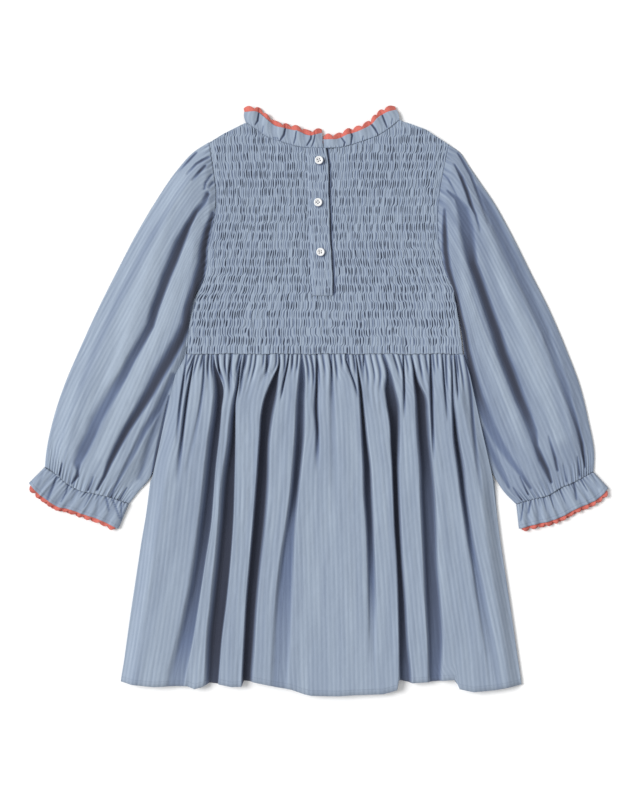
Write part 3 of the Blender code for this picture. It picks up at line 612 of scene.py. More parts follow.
RIGHT_FOLDS = (
    (1.0, 2.0, (
        (150.7, 271.8, 1.0, 1, 0.8), (164.5, 247.5, 1.0, 1.2, 0.75), (172.2, 227.2, 1.3, 1.2, 0.55),
        (183.8, 194.5, 1.6, 1, 0.2),
    )),
    (1.0, 1.0, (
        (172, 234, 3, 0.8, 0.3), (182, 215, 6.5, 1.5, 0.36), (192.5, 194.5, 7.2, 2, 0.34),
        (208, 157.6, 7.6, 2, 0.32), (226.6, 120.8, 6, 2, 0.28), (247, 76.5, 5, 2, 0.24),
        (259, 39.4, 5, 2, 0.26), (269, 10.8, 4.4, 2, 0.36), (274.5, -6, 3, 2, 0.45),
        (281.9, -29.8, 2.3, 2, 0.8), (286.6, -47.6, 2.4, 2, 0.97), (289, -63.1, 1.5, 2, 0.97),
        (290.3, -72.7, 1.0, 1, 0.8),
    )),
    (1.0, 1.2, (
        (146.9, 259.3, 0.8, 0.8, 0.6), (154.3, 244.5, 1.9, 2, 0.96), (160, 229.8, 2.0, 2.5, 1),
        (164.5, 215, 1.8, 2.2, 1), (169.8, 203.3, 1.1, 1.2, 0.8), (175, 185.6, 1.0, 1, 0.1),
    )),
    (1.5, 1.1, (
        (139, 230, 0.8, 0.6, 0.6), (149.9, 221.5, 1.8, 2, 0.62), (157.5, 208.3, 4.6, 4, 0.6),
        (161.5, 189.1, 5.4, 5, 0.62), (164.1, 169.9, 4.8, 5, 0.8), (167.6, 150.3, 3.8, 5, 0.98),
        (174.9, 129.6, 4.0, 5, 1), (180.8, 112, 4.0, 5, 1), (186.8, 94.3, 4.2, 5, 1),
        (193.9, 74.3, 4.5, 5, 1), (200.8, 51.3, 4.5, 5, 1), (209.2, 29.8, 4.6, 5, 1),
        (218.8, 3.6, 4.1, 4.5, 0.98), (227.2, -16.6, 3.8, 4, 0.9), (233.6, -34.5, 3.4, 3, 0.76),
        (236.6, -50, 1.9, 2.5, 0.85), (242.6, -64.4, 2.6, 3, 0.98), (248.6, -76.3, 2.2, 2.5, 0.96),
        (253.3, -89.4, 1.2, 1.5, 0.9),
    )),
    (1.0, 1.0, ((250, -40, 1.0, 1, 0.2), (253.3, -51.2, 1.3, 1.2, 0.6), (256.9, -63.3, 1.6, 1.5, 0.93),
                (259.9, -76.3, 1.3, 1.2, 0.85))),
    (1.2, 1.2, (
        (136.0, 209.1, 1.2, 1, 0.7), (136.2, 185.6, 2.4, 2, 1), (137.0, 165, 2.8, 2, 1),
        (139.6, 145.8, 2.8, 2, 1), (144, 131.1, 2.3, 2, 1), (149, 115, 2.0, 2, 1),
        (153, 94.3, 2.2, 2, 1), (157.5, 74.8, 2.6, 3, 1), (161, 54.9, 2.8, 3.5, 1),
        (165.5, 35.8, 3.2, 4, 1), (169.6, 20.4, 3.6, 4, 0.97), (173.6, 5, 4.0, 3.5, 0.92),
        (179.8, -12, 4.4, 3, 0.7), (187, -29.8, 4.8, 2.5, 0.5), (196.1, -46.4, 4.4, 2, 0.46), (209, -66, 3.0, 1.5, 0.4),
        (220, -81, 2, 1.2, 0.45), (230.5, -96, 1.1, 1, 0.7),
    )),
    (1.2, 1.2, ((178, -34, 4, 1.5, 0.4), (192, -66, 3, 1.5, 0.42), (207, -95, 1.6, 1, 0.4))),
    (1.0, 1.0, ((133, 250, 0.9, 0.8, 0.5), (140, 243, 1.0, 1, 0.6), (150, 224, 0.9, 0.8, 0.3))),
    (1.0, 1.0, ((281.9, -62, 0.8, 1, 0.3), (284.4, -82.3, 0.9, 1, 0.9))),
    (1.0, 1.0, ((266, -70, 0.8, 1, 0.2), (270, -89, 0.9, 1, 0.8))),
    (1.0, 1.0, ((219, -84, 0.8, 1, 0.4), (228, -103, 1.0, 1, 0.9))),
    (1.0, 1.0, ((212, -96, 0.8, 1, 0.4), (221, -109, 1.0, 1, 0.85))),
    (1.0, 1.0, ((150, 190, 4, -0.5, -0.06), (161, 110, 6, -1, -0.2), (186, 45, 7, -1, -0.2),
                (215, -30, 7, -1, -0.2), (238, -85, 5, -0.5, -0.08))),
    (1.0, 1.0, ((176, 200, 4, -0.6, -0.08), (203, 125, 8, -1.4, -0.22), (233, 45, 9, -1.4, -0.28),
                (262, -40, 9, -1, -0.2))),
)


def fold_line(plan, rows, sharp=2.0, soft_left=1.0, soft_right=1.0):
    """Depth and darkness at each point of plan of a trough down a line of rows of
    x, y, half width, depth and darkness, the darkness being painted shade, or painted
    highlight where below 0. Its section is exp(-(distance / width)^n), where a higher
    sharp n has a flatter floor and steeper sides, and the width is multiplied to the
    left and right of the line by how soft those sides are."""
    rows = np.array(rows, float)
    begin, step = rows[:-1], np.diff(rows, axis=0)
    flat = plan.reshape(-1, 1, 2)
    along = ((flat - begin[:, :2]) * step[:, :2]).sum(2) / (step[:, :2] ** 2).sum(1)
    along = np.clip(along, 0, 1)[..., None]
    nearest = begin + along * step
    distance = np.hypot(*np.moveaxis(flat - nearest[..., :2], -1, 0))
    pick = distance.argmin(1)
    every = np.arange(len(pick))
    best = nearest[every, pick]
    away = flat[:, 0] - best[:, :2]
    turn = step[pick, 0] * away[:, 1] - step[pick, 1] * away[:, 0]
    width = best[:, 2] * np.where(turn > 0, soft_right, soft_left)
    section = np.exp(-((distance[every, pick] / width) ** sharp))
    shape = plan.shape[:2]
    return (best[:, 3] * section).reshape(shape), (best[:, 4] * section).reshape(shape)


def fill_in(start, end, first, last, u, v):
    """A grid filled in between four edges: start and end run along the first index at
    either end of the second, and first and last along the second index."""
    u, v = u[:, None, None], v[None, :, None]
    across = (1 - v) * start[:, None] + v * end[:, None]
    along = (1 - u) * first[None] + u * last[None]
    near = (1 - v) * start[0] + v * end[0]
    far = (1 - v) * start[-1] + v * end[-1]
    return across + along - (1 - u) * near - u * far


def tube(plan, top, under, base=0.0):
    """Points of a flattened tube, seen from above as plan from fold to fold, with its
    upper layer at the heights top and its lower layer flat at base."""
    upper = np.dstack((plan, top))
    pick = np.linspace(len(plan) - 1, 0, under + 2).round().astype(int)[1:-1]
    lower = np.dstack((plan[pick], np.full((under, plan.shape[1]), base)))
    return np.concatenate((upper, lower))


def gathers(count, columns, seed):
    """Uneven small pleats across a grid, from -1 to 1: a sine whose phase wanders."""
    chance = np.random.default_rng(seed)
    knots = np.linspace(0, 1, count + 1)
    knots[1:-1] += chance.uniform(-0.3, 0.3, count - 1) / count
    phase = np.interp(np.linspace(0, 1, columns), knots, np.arange(count + 1))
    size = np.interp(np.linspace(0, 1, columns), knots, chance.uniform(0.5, 1, count + 1))
    return np.cos(2 * np.pi * phase) * size


def sleeve(side, outer, inner, armhole, cuff, folds, flip, seed, painted_dimness):
    """One sleeve: the plan between its two folds, armhole and cuff, with heights that
    roll down at both folds, less the fold lines, and with gathers at both ends."""
    t = np.linspace(0, 1, SLEEVE_ACROSS)
    u = t - 0.055 * np.sin(2 * np.pi * t)
    v = np.linspace(0, 1, SLEEVE_ALONG)
    begin = smooth([(x + flip * ARMHOLE_GAP, y) for x, y in armhole[::-1]], u)
    end = smooth(cuff, u)
    first, last = smooth(outer, v), smooth(inner, v)
    begin[0], begin[-1], end[0], end[-1] = first[0], last[0], first[-1], last[-1]
    plan = fill_in(begin, end, first, last, u, v)
    to_outer = np.linalg.norm(plan - plan[:1], axis=2)
    to_inner = np.linalg.norm(plan - plan[-1:], axis=2)
    to_cap = np.linalg.norm(plan - plan[:, :1], axis=2)
    crest = SLEEVE_CREST - 4.0 * ease(1 - v / 0.12) - 4.5 * ease((v - 0.86) / 0.14)
    body = ease(to_outer / 26) * ease((to_inner - 8) / 26)
    z = SLEEVE_Z + (crest[None] - SLEEVE_Z) * body
    z = CAP_SEAM_Z + (z - CAP_SEAM_Z) * ease(to_cap / 12 + 0.12)
    # shade is painted shade down the folds and in the pleats; light holds painted highlight on the ridges and crests,
    # random streaks of tone, and painted dimming over the sleeve.
    shade = np.zeros_like(z)
    light = np.zeros_like(z)
    keep = ease(to_outer / 8) * ease((to_inner - 2) / 10)
    for soft_left, soft_right, rows in folds:
        sharp = 3.4 if max(row[4] for row in rows) > 0.6 else 2.0
        low, dark = fold_line(plan, rows, sharp, soft_left, soft_right)
        z -= low * keep
        shade = np.maximum(shade, dark * ease(to_outer / 4))
        light = np.minimum(light, dark)
    z += 0.45 * crumple(9, 14, z.shape, seed) * keep + 0.2 * crumple(22, 30, z.shape, seed + 1)
    streaks = crumple(46, 5, z.shape, seed + 4) + 0.7 * crumple(90, 8, z.shape, seed + 5)
    # Streaks are random tone; the dimness is painted shade over the whole sleeve, more on the right one.
    light = light + 0.09 * streaks + painted_dimness
    cap = ease(1 - to_cap / 16)
    foot = ease((v - 0.90) / 0.10)[None]
    cap_pleats = gathers(22, SLEEVE_ACROSS, seed + 2)[:, None]
    foot_pleats = gathers(26, SLEEVE_ACROSS, seed + 3)[:, None]
    fine_pleats = gathers(52, SLEEVE_ACROSS, seed + 6)[:, None]
    z += keep * (0.7 * cap * cap_pleats + 1.0 * foot * foot_pleats + 0.4 * foot**3 * fine_pleats)
    # Painted shade in the pleats at cap and foot, and painted highlight on the crests of the fine pleats at the foot.
    shade += 0.34 * cap * np.clip(-cap_pleats, 0, 1) ** 2
    shade += 0.36 * foot**2 * np.clip(-foot_pleats, 0, 1) ** 2
    shade += 0.40 * foot**6 * np.clip(-fine_pleats, 0, 1) ** 2
    light -= 0.35 * foot**4 * np.clip(fine_pleats, 0, 1)
    shade += light * (1 - np.clip(shade * 1.3, 0, 1))
    z = np.maximum(z, SLEEVE_Z - 0.6)
    near = np.minimum(to_outer, to_inner)
    roll = np.sqrt(1 - (1 - np.clip(near / EDGE_ROLL, 0, 1)) ** 2)
    z = EDGE_Z + (z - EDGE_Z) * roll
    if flip > 0:
        plan, z, shade = plan[::-1], z[::-1], shade[::-1]
    ring = tube(plan[:, ::-1], z[:, ::-1], SLEEVE_UNDER)
    looped = np.concatenate((ring, ring[:1]))
    under = np.zeros((SLEEVE_UNDER, SLEEVE_ALONG))
    shade = np.concatenate((shade[:, ::-1], under))
    cut = spread(looped, SLEEVE_ACROSS // 2)
    return cloth(f"sleeve_{side}_tube", ring, cut, shade, closed=True)


# The last number is each sleeve's painted dimness.
for side, outer, inner, armhole, cuff, folds, flip, seed, painted_dimness in (
    ("left", LEFT_OUTER, LEFT_INNER, LEFT_ARMHOLE, LEFT_CUFF, LEFT_FOLDS, -1, 11, 0.05),
    ("right", RIGHT_OUTER, RIGHT_INNER, RIGHT_ARMHOLE, RIGHT_CUFF, RIGHT_FOLDS, 1, 21, 0.21),
):
    made = sleeve(side, outer, inner, armhole, cuff, folds, flip, seed, painted_dimness)
    place_piece(made, "blue_cotton", f"sleeve_{side}")

# Below its elastic each sleeve ends in a short frill, hemmed, with zigzag braid sewn
# behind its edge. The frill is a tube, so its lower layer shows its braid as well.
CUFF_WAVES = 9
CUFF_CELLS = 14
CUFF_ROWS = 16
CUFF_UNDER = 12
CUFF_LOW = 4.4
CUFF_HIGH = 7.9
LEFT_CUFF_EDGE = (
    (-320.5, -90.5),
    (-309, -103),
    (-300, -109.5),
    (-289, -116.5),
    (-276, -119.4),
    (-262, -124.5),
    (-245, -130),
    (-222, -141),
)
RIGHT_CUFF_EDGE = (
    (316.5, -96),
    (305, -107.5),
    (293, -113.9),
    (282, -118.3),
    (267, -126.5),
    (252, -132.5),
    (238, -135.5),
    (218, -141),
)
BRAID_CENTRE = 0.5
BRAID_SWING = 2.0
BRAID_HALF = 2.4
BRAID_WALL = 1.0
CUFF_PITCH = 9.8
CUFF_HEM_SHIFT = 2.0
CORAL_LIGHT = (0.70, 0.180, 0.140, 1)
CORAL_DARK = (0.52, 0.105, 0.085, 1)


def zigzag_braid():
    """Coral braid of cotton: plaited ribs that run slanting from each edge to the
    middle, drawn as a sine of the place along plus the distance from the middle."""
    material, shader, start = finish("coral_braid", 0.8)
    cut = start.node("ShaderNodeUVMap", {"uv_map": "cut"})
    along = start.node("ShaderNodeSeparateXYZ", {}, {0: cut}, out=0)
    across = start.node("ShaderNodeSeparateXYZ", {}, {0: cut}, out=1)
    from_middle = (across - BRAID_HALF * MM).math("ABSOLUTE")
    rib = ((along + from_middle) * (2 * np.pi / 0.0011)).math("SINE") * 0.5 + 0.5
    place = start.node("ShaderNodeTexCoord", out=3)
    fuzz = start.noise(place, 1400, 3)
    tone = (rib * 0.5 + fuzz * 0.7).clamp()
    flat = tone.mix(CORAL_DARK, CORAL_LIGHT)
    # Painted shade from the mesh's shade value; the braids are made without one, so it leaves their colour plain.
    painted_shade = start.node("ShaderNodeAttribute", {"attribute_name": "shade"}, out=2).clamp()
    join(painted_shade.mix(flat, (0.25, 0.02, 0.02, 1)), shader, "Base Color")
    relief = rib * 0.18 + fuzz * 0.12
    bump = start.node("ShaderNodeBump", {}, {"Strength": 0.8, "Distance": MM, "Height": relief})
    join(bump, shader, "Normal")
    join(0.75 + fuzz * 0.15, shader, "Roughness")
    return material


coral = zigzag_braid()


def braid(name, line, out, seed, pitch, drop=0.0, lift=0.0):
    """Zigzag braid along a line of points. Both its edges are rows of round scallops,
    the outer one's peaks over the inner one's gaps: the root of half a sine. It lies
    drop below the line, and lift pushes the outer edge further out."""
    run = np.concatenate(([0.0], np.cumsum(np.linalg.norm(np.diff(line, axis=0), axis=1))))
    count = max(2, round(run[-1] / pitch))
    at = np.linspace(0, run[-1], count * 16 + 1)
    centre = np.stack([np.interp(at, run, line[:, k]) for k in range(3)], -1)
    away = np.stack([np.interp(at, run, out[:, k]) for k in range(2)], -1)
    away /= np.linalg.norm(away, axis=1)[:, None]
    chance = np.random.default_rng(seed)
    knots = np.linspace(0, run[-1], count + 1)
    wander = np.interp(at, knots, chance.uniform(-0.8, 0.8, count + 1))
    size = np.interp(at, knots, chance.uniform(0.8, 1.12, count + 1))
    phase = np.pi * count * at / run[-1] + wander / 2
    outward = 2 * np.abs(np.sin(phase)) ** 0.62 - 1 + lift
    inward = 1 - 2 * np.abs(np.cos(phase)) ** 0.62
    across = np.linspace(-1, 1, 7)[None]
    mixed = (outward[:, None] * (1 + across) + inward[:, None] * (1 - across)) / 2
    reach = BRAID_CENTRE + BRAID_SWING * size[:, None] * mixed + BRAID_HALF * across
    grid = np.empty((len(at), 7, 3))
    grid[..., :2] = centre[:, None, :2] + away[:, None] * reach[..., None]
    grid[..., 2] = centre[:, None, 2] - drop + 0.25 * (1 - across**2)
    if np.cross(grid[1, 0, :2] - grid[0, 0, :2], grid[0, 1, :2] - grid[0, 0, :2]) < 0:
        grid = grid[::-1]
    return cloth(name, grid, spread(grid, 0), wall=BRAID_WALL, material=coral)


def frill_waves(columns, rows, waves, seed):
    """Height of a gathered frill from 0 to 1: uneven waves that grow from the seam to
    the free edge, each narrow at its foot and flat on its back."""
    wave = 0.5 - 0.5 * gathers(waves, columns, seed)[:, None]
    fine = 0.5 - 0.5 * gathers(waves * 3, columns, seed + 5)[:, None]
    v = np.linspace(0, 1, rows)[None]
    return wave * (0.25 + 0.75 * v) * 0.9 + fine * (1 - v) ** 2 * 0.45, wave, fine


# Pleats pressed into the cuff frills: x, y, half width, depth and darkness of painted shade
LEFT_CUFF_PLEATS = (
    ((-290, -84, 0.9, 1.2, 0.95), (-294, -95, 1.4, 1.2, 0.8), (-300.3, -109.6, 1.9, 1.2, 0.55)),
    ((-277.1, -91.9, 0.8, 1, 0.85), (-278.9, -100.3, 0.9, 1, 0.85), (-284.7, -111.3, 0.7, 0.8, 0.5)),
    ((-257.3, -100.5, 0.9, 1, 0.8), (-262.4, -106.2, 0.7, 0.8, 0.4)),
    ((-251.5, -103, 0.8, 1, 0.7), (-259, -116.4, 0.7, 0.8, 0.35)),
    ((-235.4, -106, 0.9, 1, 0.75), (-232.1, -120.5, 1.7, 1, 0.42)),
    ((-227.9, -109, 1.0, 1, 0.6), (-220.3, -128.9, 1.2, 1, 0.5)),
    ((-218.6, -113, 0.9, 1, 0.7), (-218.6, -133.2, 0.9, 0.8, 0.45)),
    ((-304, -78, 1.2, 0.8, 0.25), (-309, -92, 2.4, 0.8, 0.2)),
    ((-268, -97, 1.6, 0.8, 0.2), (-272, -112, 2.6, 0.8, 0.16)),
    ((-243, -105, 1.4, 0.8, 0.3), (-246, -124, 2.4, 0.8, 0.18)),
)
RIGHT_CUFF_PLEATS = (
    ((277.2, -89.4, 1.0, 1.2, 0.95), (279.5, -98, 1.3, 1.2, 0.8), (281, -108, 1.5, 1, 0.5)),
    ((285.5, -86, 0.8, 1, 0.85), (292.7, -98.9, 0.7, 0.8, 0.45)),
    ((261.7, -96, 0.9, 1, 0.85), (269, -112, 0.8, 0.8, 0.4)),
    ((252, -103, 0.9, 1, 0.8), (256, -117, 0.7, 0.8, 0.4)),
    ((244, -105, 0.8, 1, 0.7), (248, -120, 0.9, 0.8, 0.35)),
    ((231, -109, 0.9, 1, 0.8), (228, -124, 1.5, 1, 0.45)),
    ((223, -111, 0.9, 1, 0.7), (220, -131, 1.0, 1, 0.5)),
    ((297, -79, 1.1, 0.8, 0.3), (305, -95, 2.4, 0.8, 0.2)),
    ((240, -107, 1.5, 0.8, 0.2), (241, -128, 2.6, 0.8, 0.18)),
)


def cuff_frill(side, seam, edge, pleats, flip, seed):
    """One cuff frill: the plan between the sleeve's end and the frill's edge, raised
    in waves less its pleats, and its two braids behind the edges of its layers."""
    columns = CUFF_WAVES * CUFF_CELLS + 1
    u, v = np.linspace(0, 1, columns), np.linspace(0, 1, CUFF_ROWS)
    begin = smooth([(x * 1.0005, y - 0.12) for x, y in seam], u)
    end = smooth(edge, u)
    first = begin[0] + (end[0] - begin[0]) * v[:, None]
    last = begin[-1] + (end[-1] - begin[-1]) * v[:, None]
    plan = fill_in(begin, end, first, last, u, v)
    height, wave, fine = frill_waves(columns, CUFF_ROWS, CUFF_WAVES, seed)
    z = CUFF_LOW + (CUFF_HIGH - CUFF_LOW) * height
    rows = v[None]
    # Painted shade in the troughs of the waves and, near the seam, of the fine gathers; painted highlight on the fine
    # gathers' crests; and a little painted shade all over.
    shade = 0.16 * (1 - wave) ** 2 + 0.55 * (1 - fine) ** 2 * (1 - rows) ** 5
    shade = shade - 0.4 * fine**2 * (1 - rows) ** 5 + 0.06
    # Each pleat is lowered and painted with shade.
    for table in pleats:
        low, dark = fold_line(plan, table, 2.6)
        z -= low
        shade = np.maximum(shade, dark)
    near = np.minimum(
        np.linalg.norm(plan - plan[:1], axis=2), np.linalg.norm(plan - plan[-1:], axis=2)
    )
    z = EDGE_Z + (z - EDGE_Z) * np.sqrt(1 - (1 - np.clip(near / 3.0, 0, 1)) ** 2)
    if flip > 0:
        plan, z, shade = plan[::-1], z[::-1], shade[::-1]
    top = np.dstack((plan, z))
    ring = tube(plan[:, ::-1], z[:, ::-1], CUFF_UNDER)
    shade = np.concatenate((shade[:, ::-1], np.zeros((CUFF_UNDER, CUFF_ROWS))))
    looped = np.concatenate((ring, ring[:1]))
    above_edge = np.linalg.norm(plan - plan[:, -1:], axis=2)[:, ::-1]
    hem = np.concatenate((above_edge, np.zeros((CUFF_UNDER, CUFF_ROWS)))) + CUFF_HEM_SHIFT
    frill = cloth(f"cuff_frill_{side}_tube", ring, spread(looped), shade, hem, closed=True)
    place_piece(frill, "blue_cotton", f"cuff_frill_{side}")
    out = plan[:, -1] - plan[:, 0]
    line = top[4:-4, -1].copy()
    upper = braid(f"zigzag_cuff_{side}", line, out[4:-4], seed + 7, CUFF_PITCH, WALL + 0.5)
    place_piece(upper, "coral_braid", f"cuff_braid_{side}")
    line[:, 2] = BRAID_WALL + 0.1
    below = braid(f"zigzag_cuff_{side}_lower", line, out[4:-4], seed + 8, CUFF_PITCH)
    place_piece(below, "coral_braid", f"cuff_braid_{side}_lower")


cuff_frill("left", LEFT_CUFF, LEFT_CUFF_EDGE, LEFT_CUFF_PLEATS, -1, 31)
cuff_frill("right", RIGHT_CUFF, RIGHT_CUFF_EDGE, RIGHT_CUFF_PLEATS, 1, 41)

# The back of the skirt is a wide panel gathered into the waist seam. From there its
# folds run to the hem, some of them deep, with fine slits between them at the waist.
SKIRT_ROWS = 88
SKIRT_RISE = (
    (51.2, 4.9, 4.9),
    (45, 6.9, 5.6),
    (34, 9.2, 5.9),
    (16, 12.0, 6.0),
    (-12, 13.4, 6.0),
    (-50, 13.8, 6.0),
    (-86, 13.8, 5.9),
    (-112, 13.6, 3.3),
    (-220, 12.4, 3.1),
    (-313, 10.8, 3.1),
)
VALLEY_Z = 2.8
SIDE_ROLL = 17.0

# The deep folds: y, left side, right side, and darkness of the painted shade in them.
# Each opens with the softness of its two sides and the grid cells in it and up to the
# next one.
SKIRT_FOLDS = (
    (
        (9, 2.0, 16, 34),
        ((51, -118.5, -117, 0.7), (38, -118.5, -115, 0.9), (26, -117, -110.5, 1), (16, -116, -107, 1),
         (-10.5, -117.4, -108.5, 1), (-41, -122, -111.2, 0.95), (-72, -125.6, -114.8, 0.92),
         (-103, -129, -117.3, 0.9), (-133.7, -133, -119.8, 0.88), (-175.5, -138.5, -126.2, 0.8),
         (-219.5, -146.5, -133, 0.68), (-263.5, -157, -140, 0.48), (-302, -168, -148, 0.28),
         (-325, -173, -152, 0.2)),
    ),
    (
        (8, 2.0, 16, 50),
        ((51, -87, -85.6, 0.7), (38, -90, -87.6, 0.95), (16, -92.4, -89.8, 1), (-2.8, -96, -92.8, 1),
         (-18, -98.3, -93.2, 1), (-41, -100.6, -93.3, 1), (-87.5, -107.2, -94.2, 1),
         (-131.5, -110.6, -95.6, 1), (-175.5, -114.6, -98.7, 1), (-219.5, -119.5, -103, 1),
         (-263.5, -124, -108.5, 1), (-302, -125.5, -111.5, 0.95), (-325, -126.5, -113, 0.9)),
    ),
    (
        (2.0, 5, 16, 34),
        ((51, -46, -44.6, 0.7), (38, -46.6, -44.6, 1), (28, -51, -46, 1), (16, -56.4, -47.2, 1),
         (0.5, -62.2, -49.5, 1), (-10.5, -64.6, -51.8, 1), (-41, -67, -56.3, 1),
         (-87.5, -70.3, -58, 1), (-133.7, -74, -61.2, 1), (-175.5, -77.7, -65.8, 1),
         (-219.5, -81.5, -70, 1), (-263.5, -84, -73, 1), (-302, -86, -75.5, 1), (-325, -87, -76, 1)),
    ),
    (
        (5, 4, 14, 76),
        ((51, -22, -20, 0.4), (36, -23.2, -17.4, 0.6), (-2.8, -26.2, -17.8, 0.72),
         (-41, -27.8, -18.6, 0.84), (-72, -30.2, -21.6, 0.84), (-103, -33, -25, 0.8),
         (-133.7, -37.5, -28, 0.56), (-175.5, -44, -30, 0.44), (-219.5, -49, -32, 0.34),
         (-263.5, -52, -34, 0.24), (-325, -55, -38, 0.16)),
    ),
    (
        (3.5, 4, 14, 30),
        ((51, 38, 39.4, 0.7), (35.5, 39.8, 41.6, 0.85), (12.7, 42, 45.2, 0.92), (-10.5, 43.6, 47.5, 0.97),
         (-41, 45.2, 50.6, 0.93), (-72, 46.8, 54.4, 0.9), (-103, 47.6, 56, 0.86),
         (-133.7, 49.8, 57.4, 0.8), (-175.5, 51.4, 59, 0.6), (-219.5, 52, 60, 0.34),
         (-263.5, 52.5, 60, 0.1), (-325, 53, 60, 0)),
    ),
    (
        (2.0, 5, 16, 32),
        ((51, 68, 69.4, 0.6), (28, 73, 77.8, 0.7), (12.7, 70.8, 81.4, 0.9), (-2.8, 72.4, 85, 0.97),
         (-26, 75.8, 86, 1), (-49, 76.9, 85.5, 1), (-72, 78.3, 84.8, 1), (-103, 79.5, 85.6, 1),
         (-133.7, 80.7, 86.9, 1), (-175.5, 83.4, 89.2, 0.98), (-219.5, 85, 92.6, 0.94),
         (-263.5, 86, 95, 0.9), (-302, 86.5, 98.5, 0.82), (-325, 87, 99, 0.8)),
    ),
    (
        (5, 5, 16, 44),
        ((51, 99, 100.4, 0.7), (35.5, 101.2, 103.4, 0.95), (20, 102.2, 107.5, 1), (5, 103.8, 114.6, 1),
         (-18, 104.8, 117, 1), (-41, 106.2, 118.6, 0.96), (-72, 108.6, 121.8, 0.9), (-103, 109.6, 124.6, 0.84),
         (-133.7, 111, 126, 0.82), (-175.5, 113, 127, 0.82), (-219.5, 115, 130.5, 0.8),
         (-263.5, 117.5, 133, 0.72), (-302, 118.5, 131.5, 0.64), (-325, 119, 132, 0.6)),
    ),
    (
        (4, 5, 14, 40),
        ((51, 143.6, 144.8, 0.7), (20, 143.5, 144.9, 0.95), (-2.8, 143.9, 145.8, 0.95),
         (-18, 144.4, 147.8, 0.95), (-41, 145.4, 150.8, 0.92), (-72, 149.6, 156, 0.86),
         (-103, 153.4, 159.4, 0.76), (-133.7, 158, 164, 0.62), (-157, 161.4, 168, 0.5),
         (-175.5, 164.6, 172, 0.4), (-219.5, 171, 181, 0.28), (-263.5, 178, 190, 0.16),
         (-302, 184, 196, 0.06), (-325, 187, 199, 0)),
    ),
)
FIRST_CELLS = 70
FOLD_SHADE = 1.0

# Short folds that fade before the hem: y, x, half width and darkness of painted shade down each
SHORT_FOLDS = (
    ((50, -146.6, 0.8, 0.7), (15.6, -151.2, 1.3, 0.95), (-10.5, -154.3, 1.3, 0.7), (-50, -157, 2, 0)),
    ((50, -138.0, 0.8, 0.8), (32.6, -141.3, 1.2, 0.9), (5, -145.9, 1.6, 0.95), (-38, -151.3, 1.6, 0.85),
     (-92, -157, 3, 0)),
    ((50, -127.5, 1, 0.7), (20, -128.5, 1.2, 0.5), (-90, -149, 3, 0)),
    ((50, -112.5, 0.8, 0.8), (34, -111.5, 1.0, 0.9), (18, -107.6, 1.2, 0)),
    ((50, -98.5, 0.8, 0.8), (30, -100.5, 1.0, 0.9), (8, -98.5, 1.4, 0)),
    ((50, -83, 0.9, 0.8), (24, -86.5, 1.6, 0.6), (2, -88, 1.5, 0)),
    ((50, -58.5, 0.9, 0.95), (38, -59, 1.1, 0.9), (24, -59.5, 1.0, 0)),
    ((50, -34.6, 0.9, 0.8), (38, -36.4, 1.1, 0.95), (16, -41, 1.2, 0.85), (0, -43.6, 1.0, 0)),
    ((50, -4, 1.0, 0.9), (20, -4, 1.5, 1), (-10.5, -4.7, 2.1, 1), (-32, -3.4, 1.7, 0.9),
     (-78, -4, 2.4, 0)),
    ((50, 12, 0.8, 0.6), (0, 13, 2.5, 0.3), (-130, 16, 5, 0)),
    ((44, 28, 0.9, 0.8), (16, 38, 1.0, 0.7), (2, 41.5, 1.2, 0)),
    ((50, 47.4, 0.9, 0.95), (20, 47, 1.0, 0)),
    ((50, 91, 0.9, 0.95), (10, 91.8, 1.2, 0.8), (-20, 92, 1.4, 0)),
    ((50, 120.8, 1.0, 0.95), (12, 121.6, 1.8, 1), (-26, 122.7, 1.5, 0.8), (-70, 124.4, 1.6, 0)),
    ((50, 133.8, 0.9, 0.85), (12.7, 136.2, 1.1, 0.8), (-24, 139.4, 1.2, 0)),
    ((50, 147.2, 0.9, 0.85), (12.7, 150, 1.0, 0.6), (0, 151, 1.0, 0)),
    ((50, 157.4, 0.9, 0.9), (12.7, 164.2, 1.5, 0.9), (-26, 167.4, 1.8, 0.62), (-110, 177, 3, 0)),
)
SLITS = 48
SLIT_DEPTH = 2.4


def bend(rows, at, field=1):
    """Like read, but along a smooth curve through the rows."""
    table = np.array(rows, float)
    table = table[table[:, 0].argsort()]
    height, values = table[:, 0], table[:, field]
    slope = np.gradient(values, height)
    at = np.clip(at, height[0], height[-1])
    i = np.clip(np.searchsorted(height, at, side="right") - 1, 0, len(height) - 2)
    span = height[i + 1] - height[i]
    t = (at - height[i]) / span
    near = (2 * t**3 - 3 * t**2 + 1) * values[i] + (t**3 - 2 * t**2 + t) * span * slope[i]
    far = (3 * t**2 - 2 * t**3) * values[i + 1] + (t**3 - t**2) * span * slope[i + 1]
    return near + far


def waist_line(x):
    """How far the waist seam wavers up and down: two slow sines, and a small arch over
    each gather, the size of a sine."""
    slow = 0.35 * np.sin(x / 9.0) + 0.25 * np.sin(x / 4.1 + 1)
    return slow + 0.7 * np.abs(np.sin(x / 2.0 + 0.6 * np.sin(x / 11.0))) - 0.35


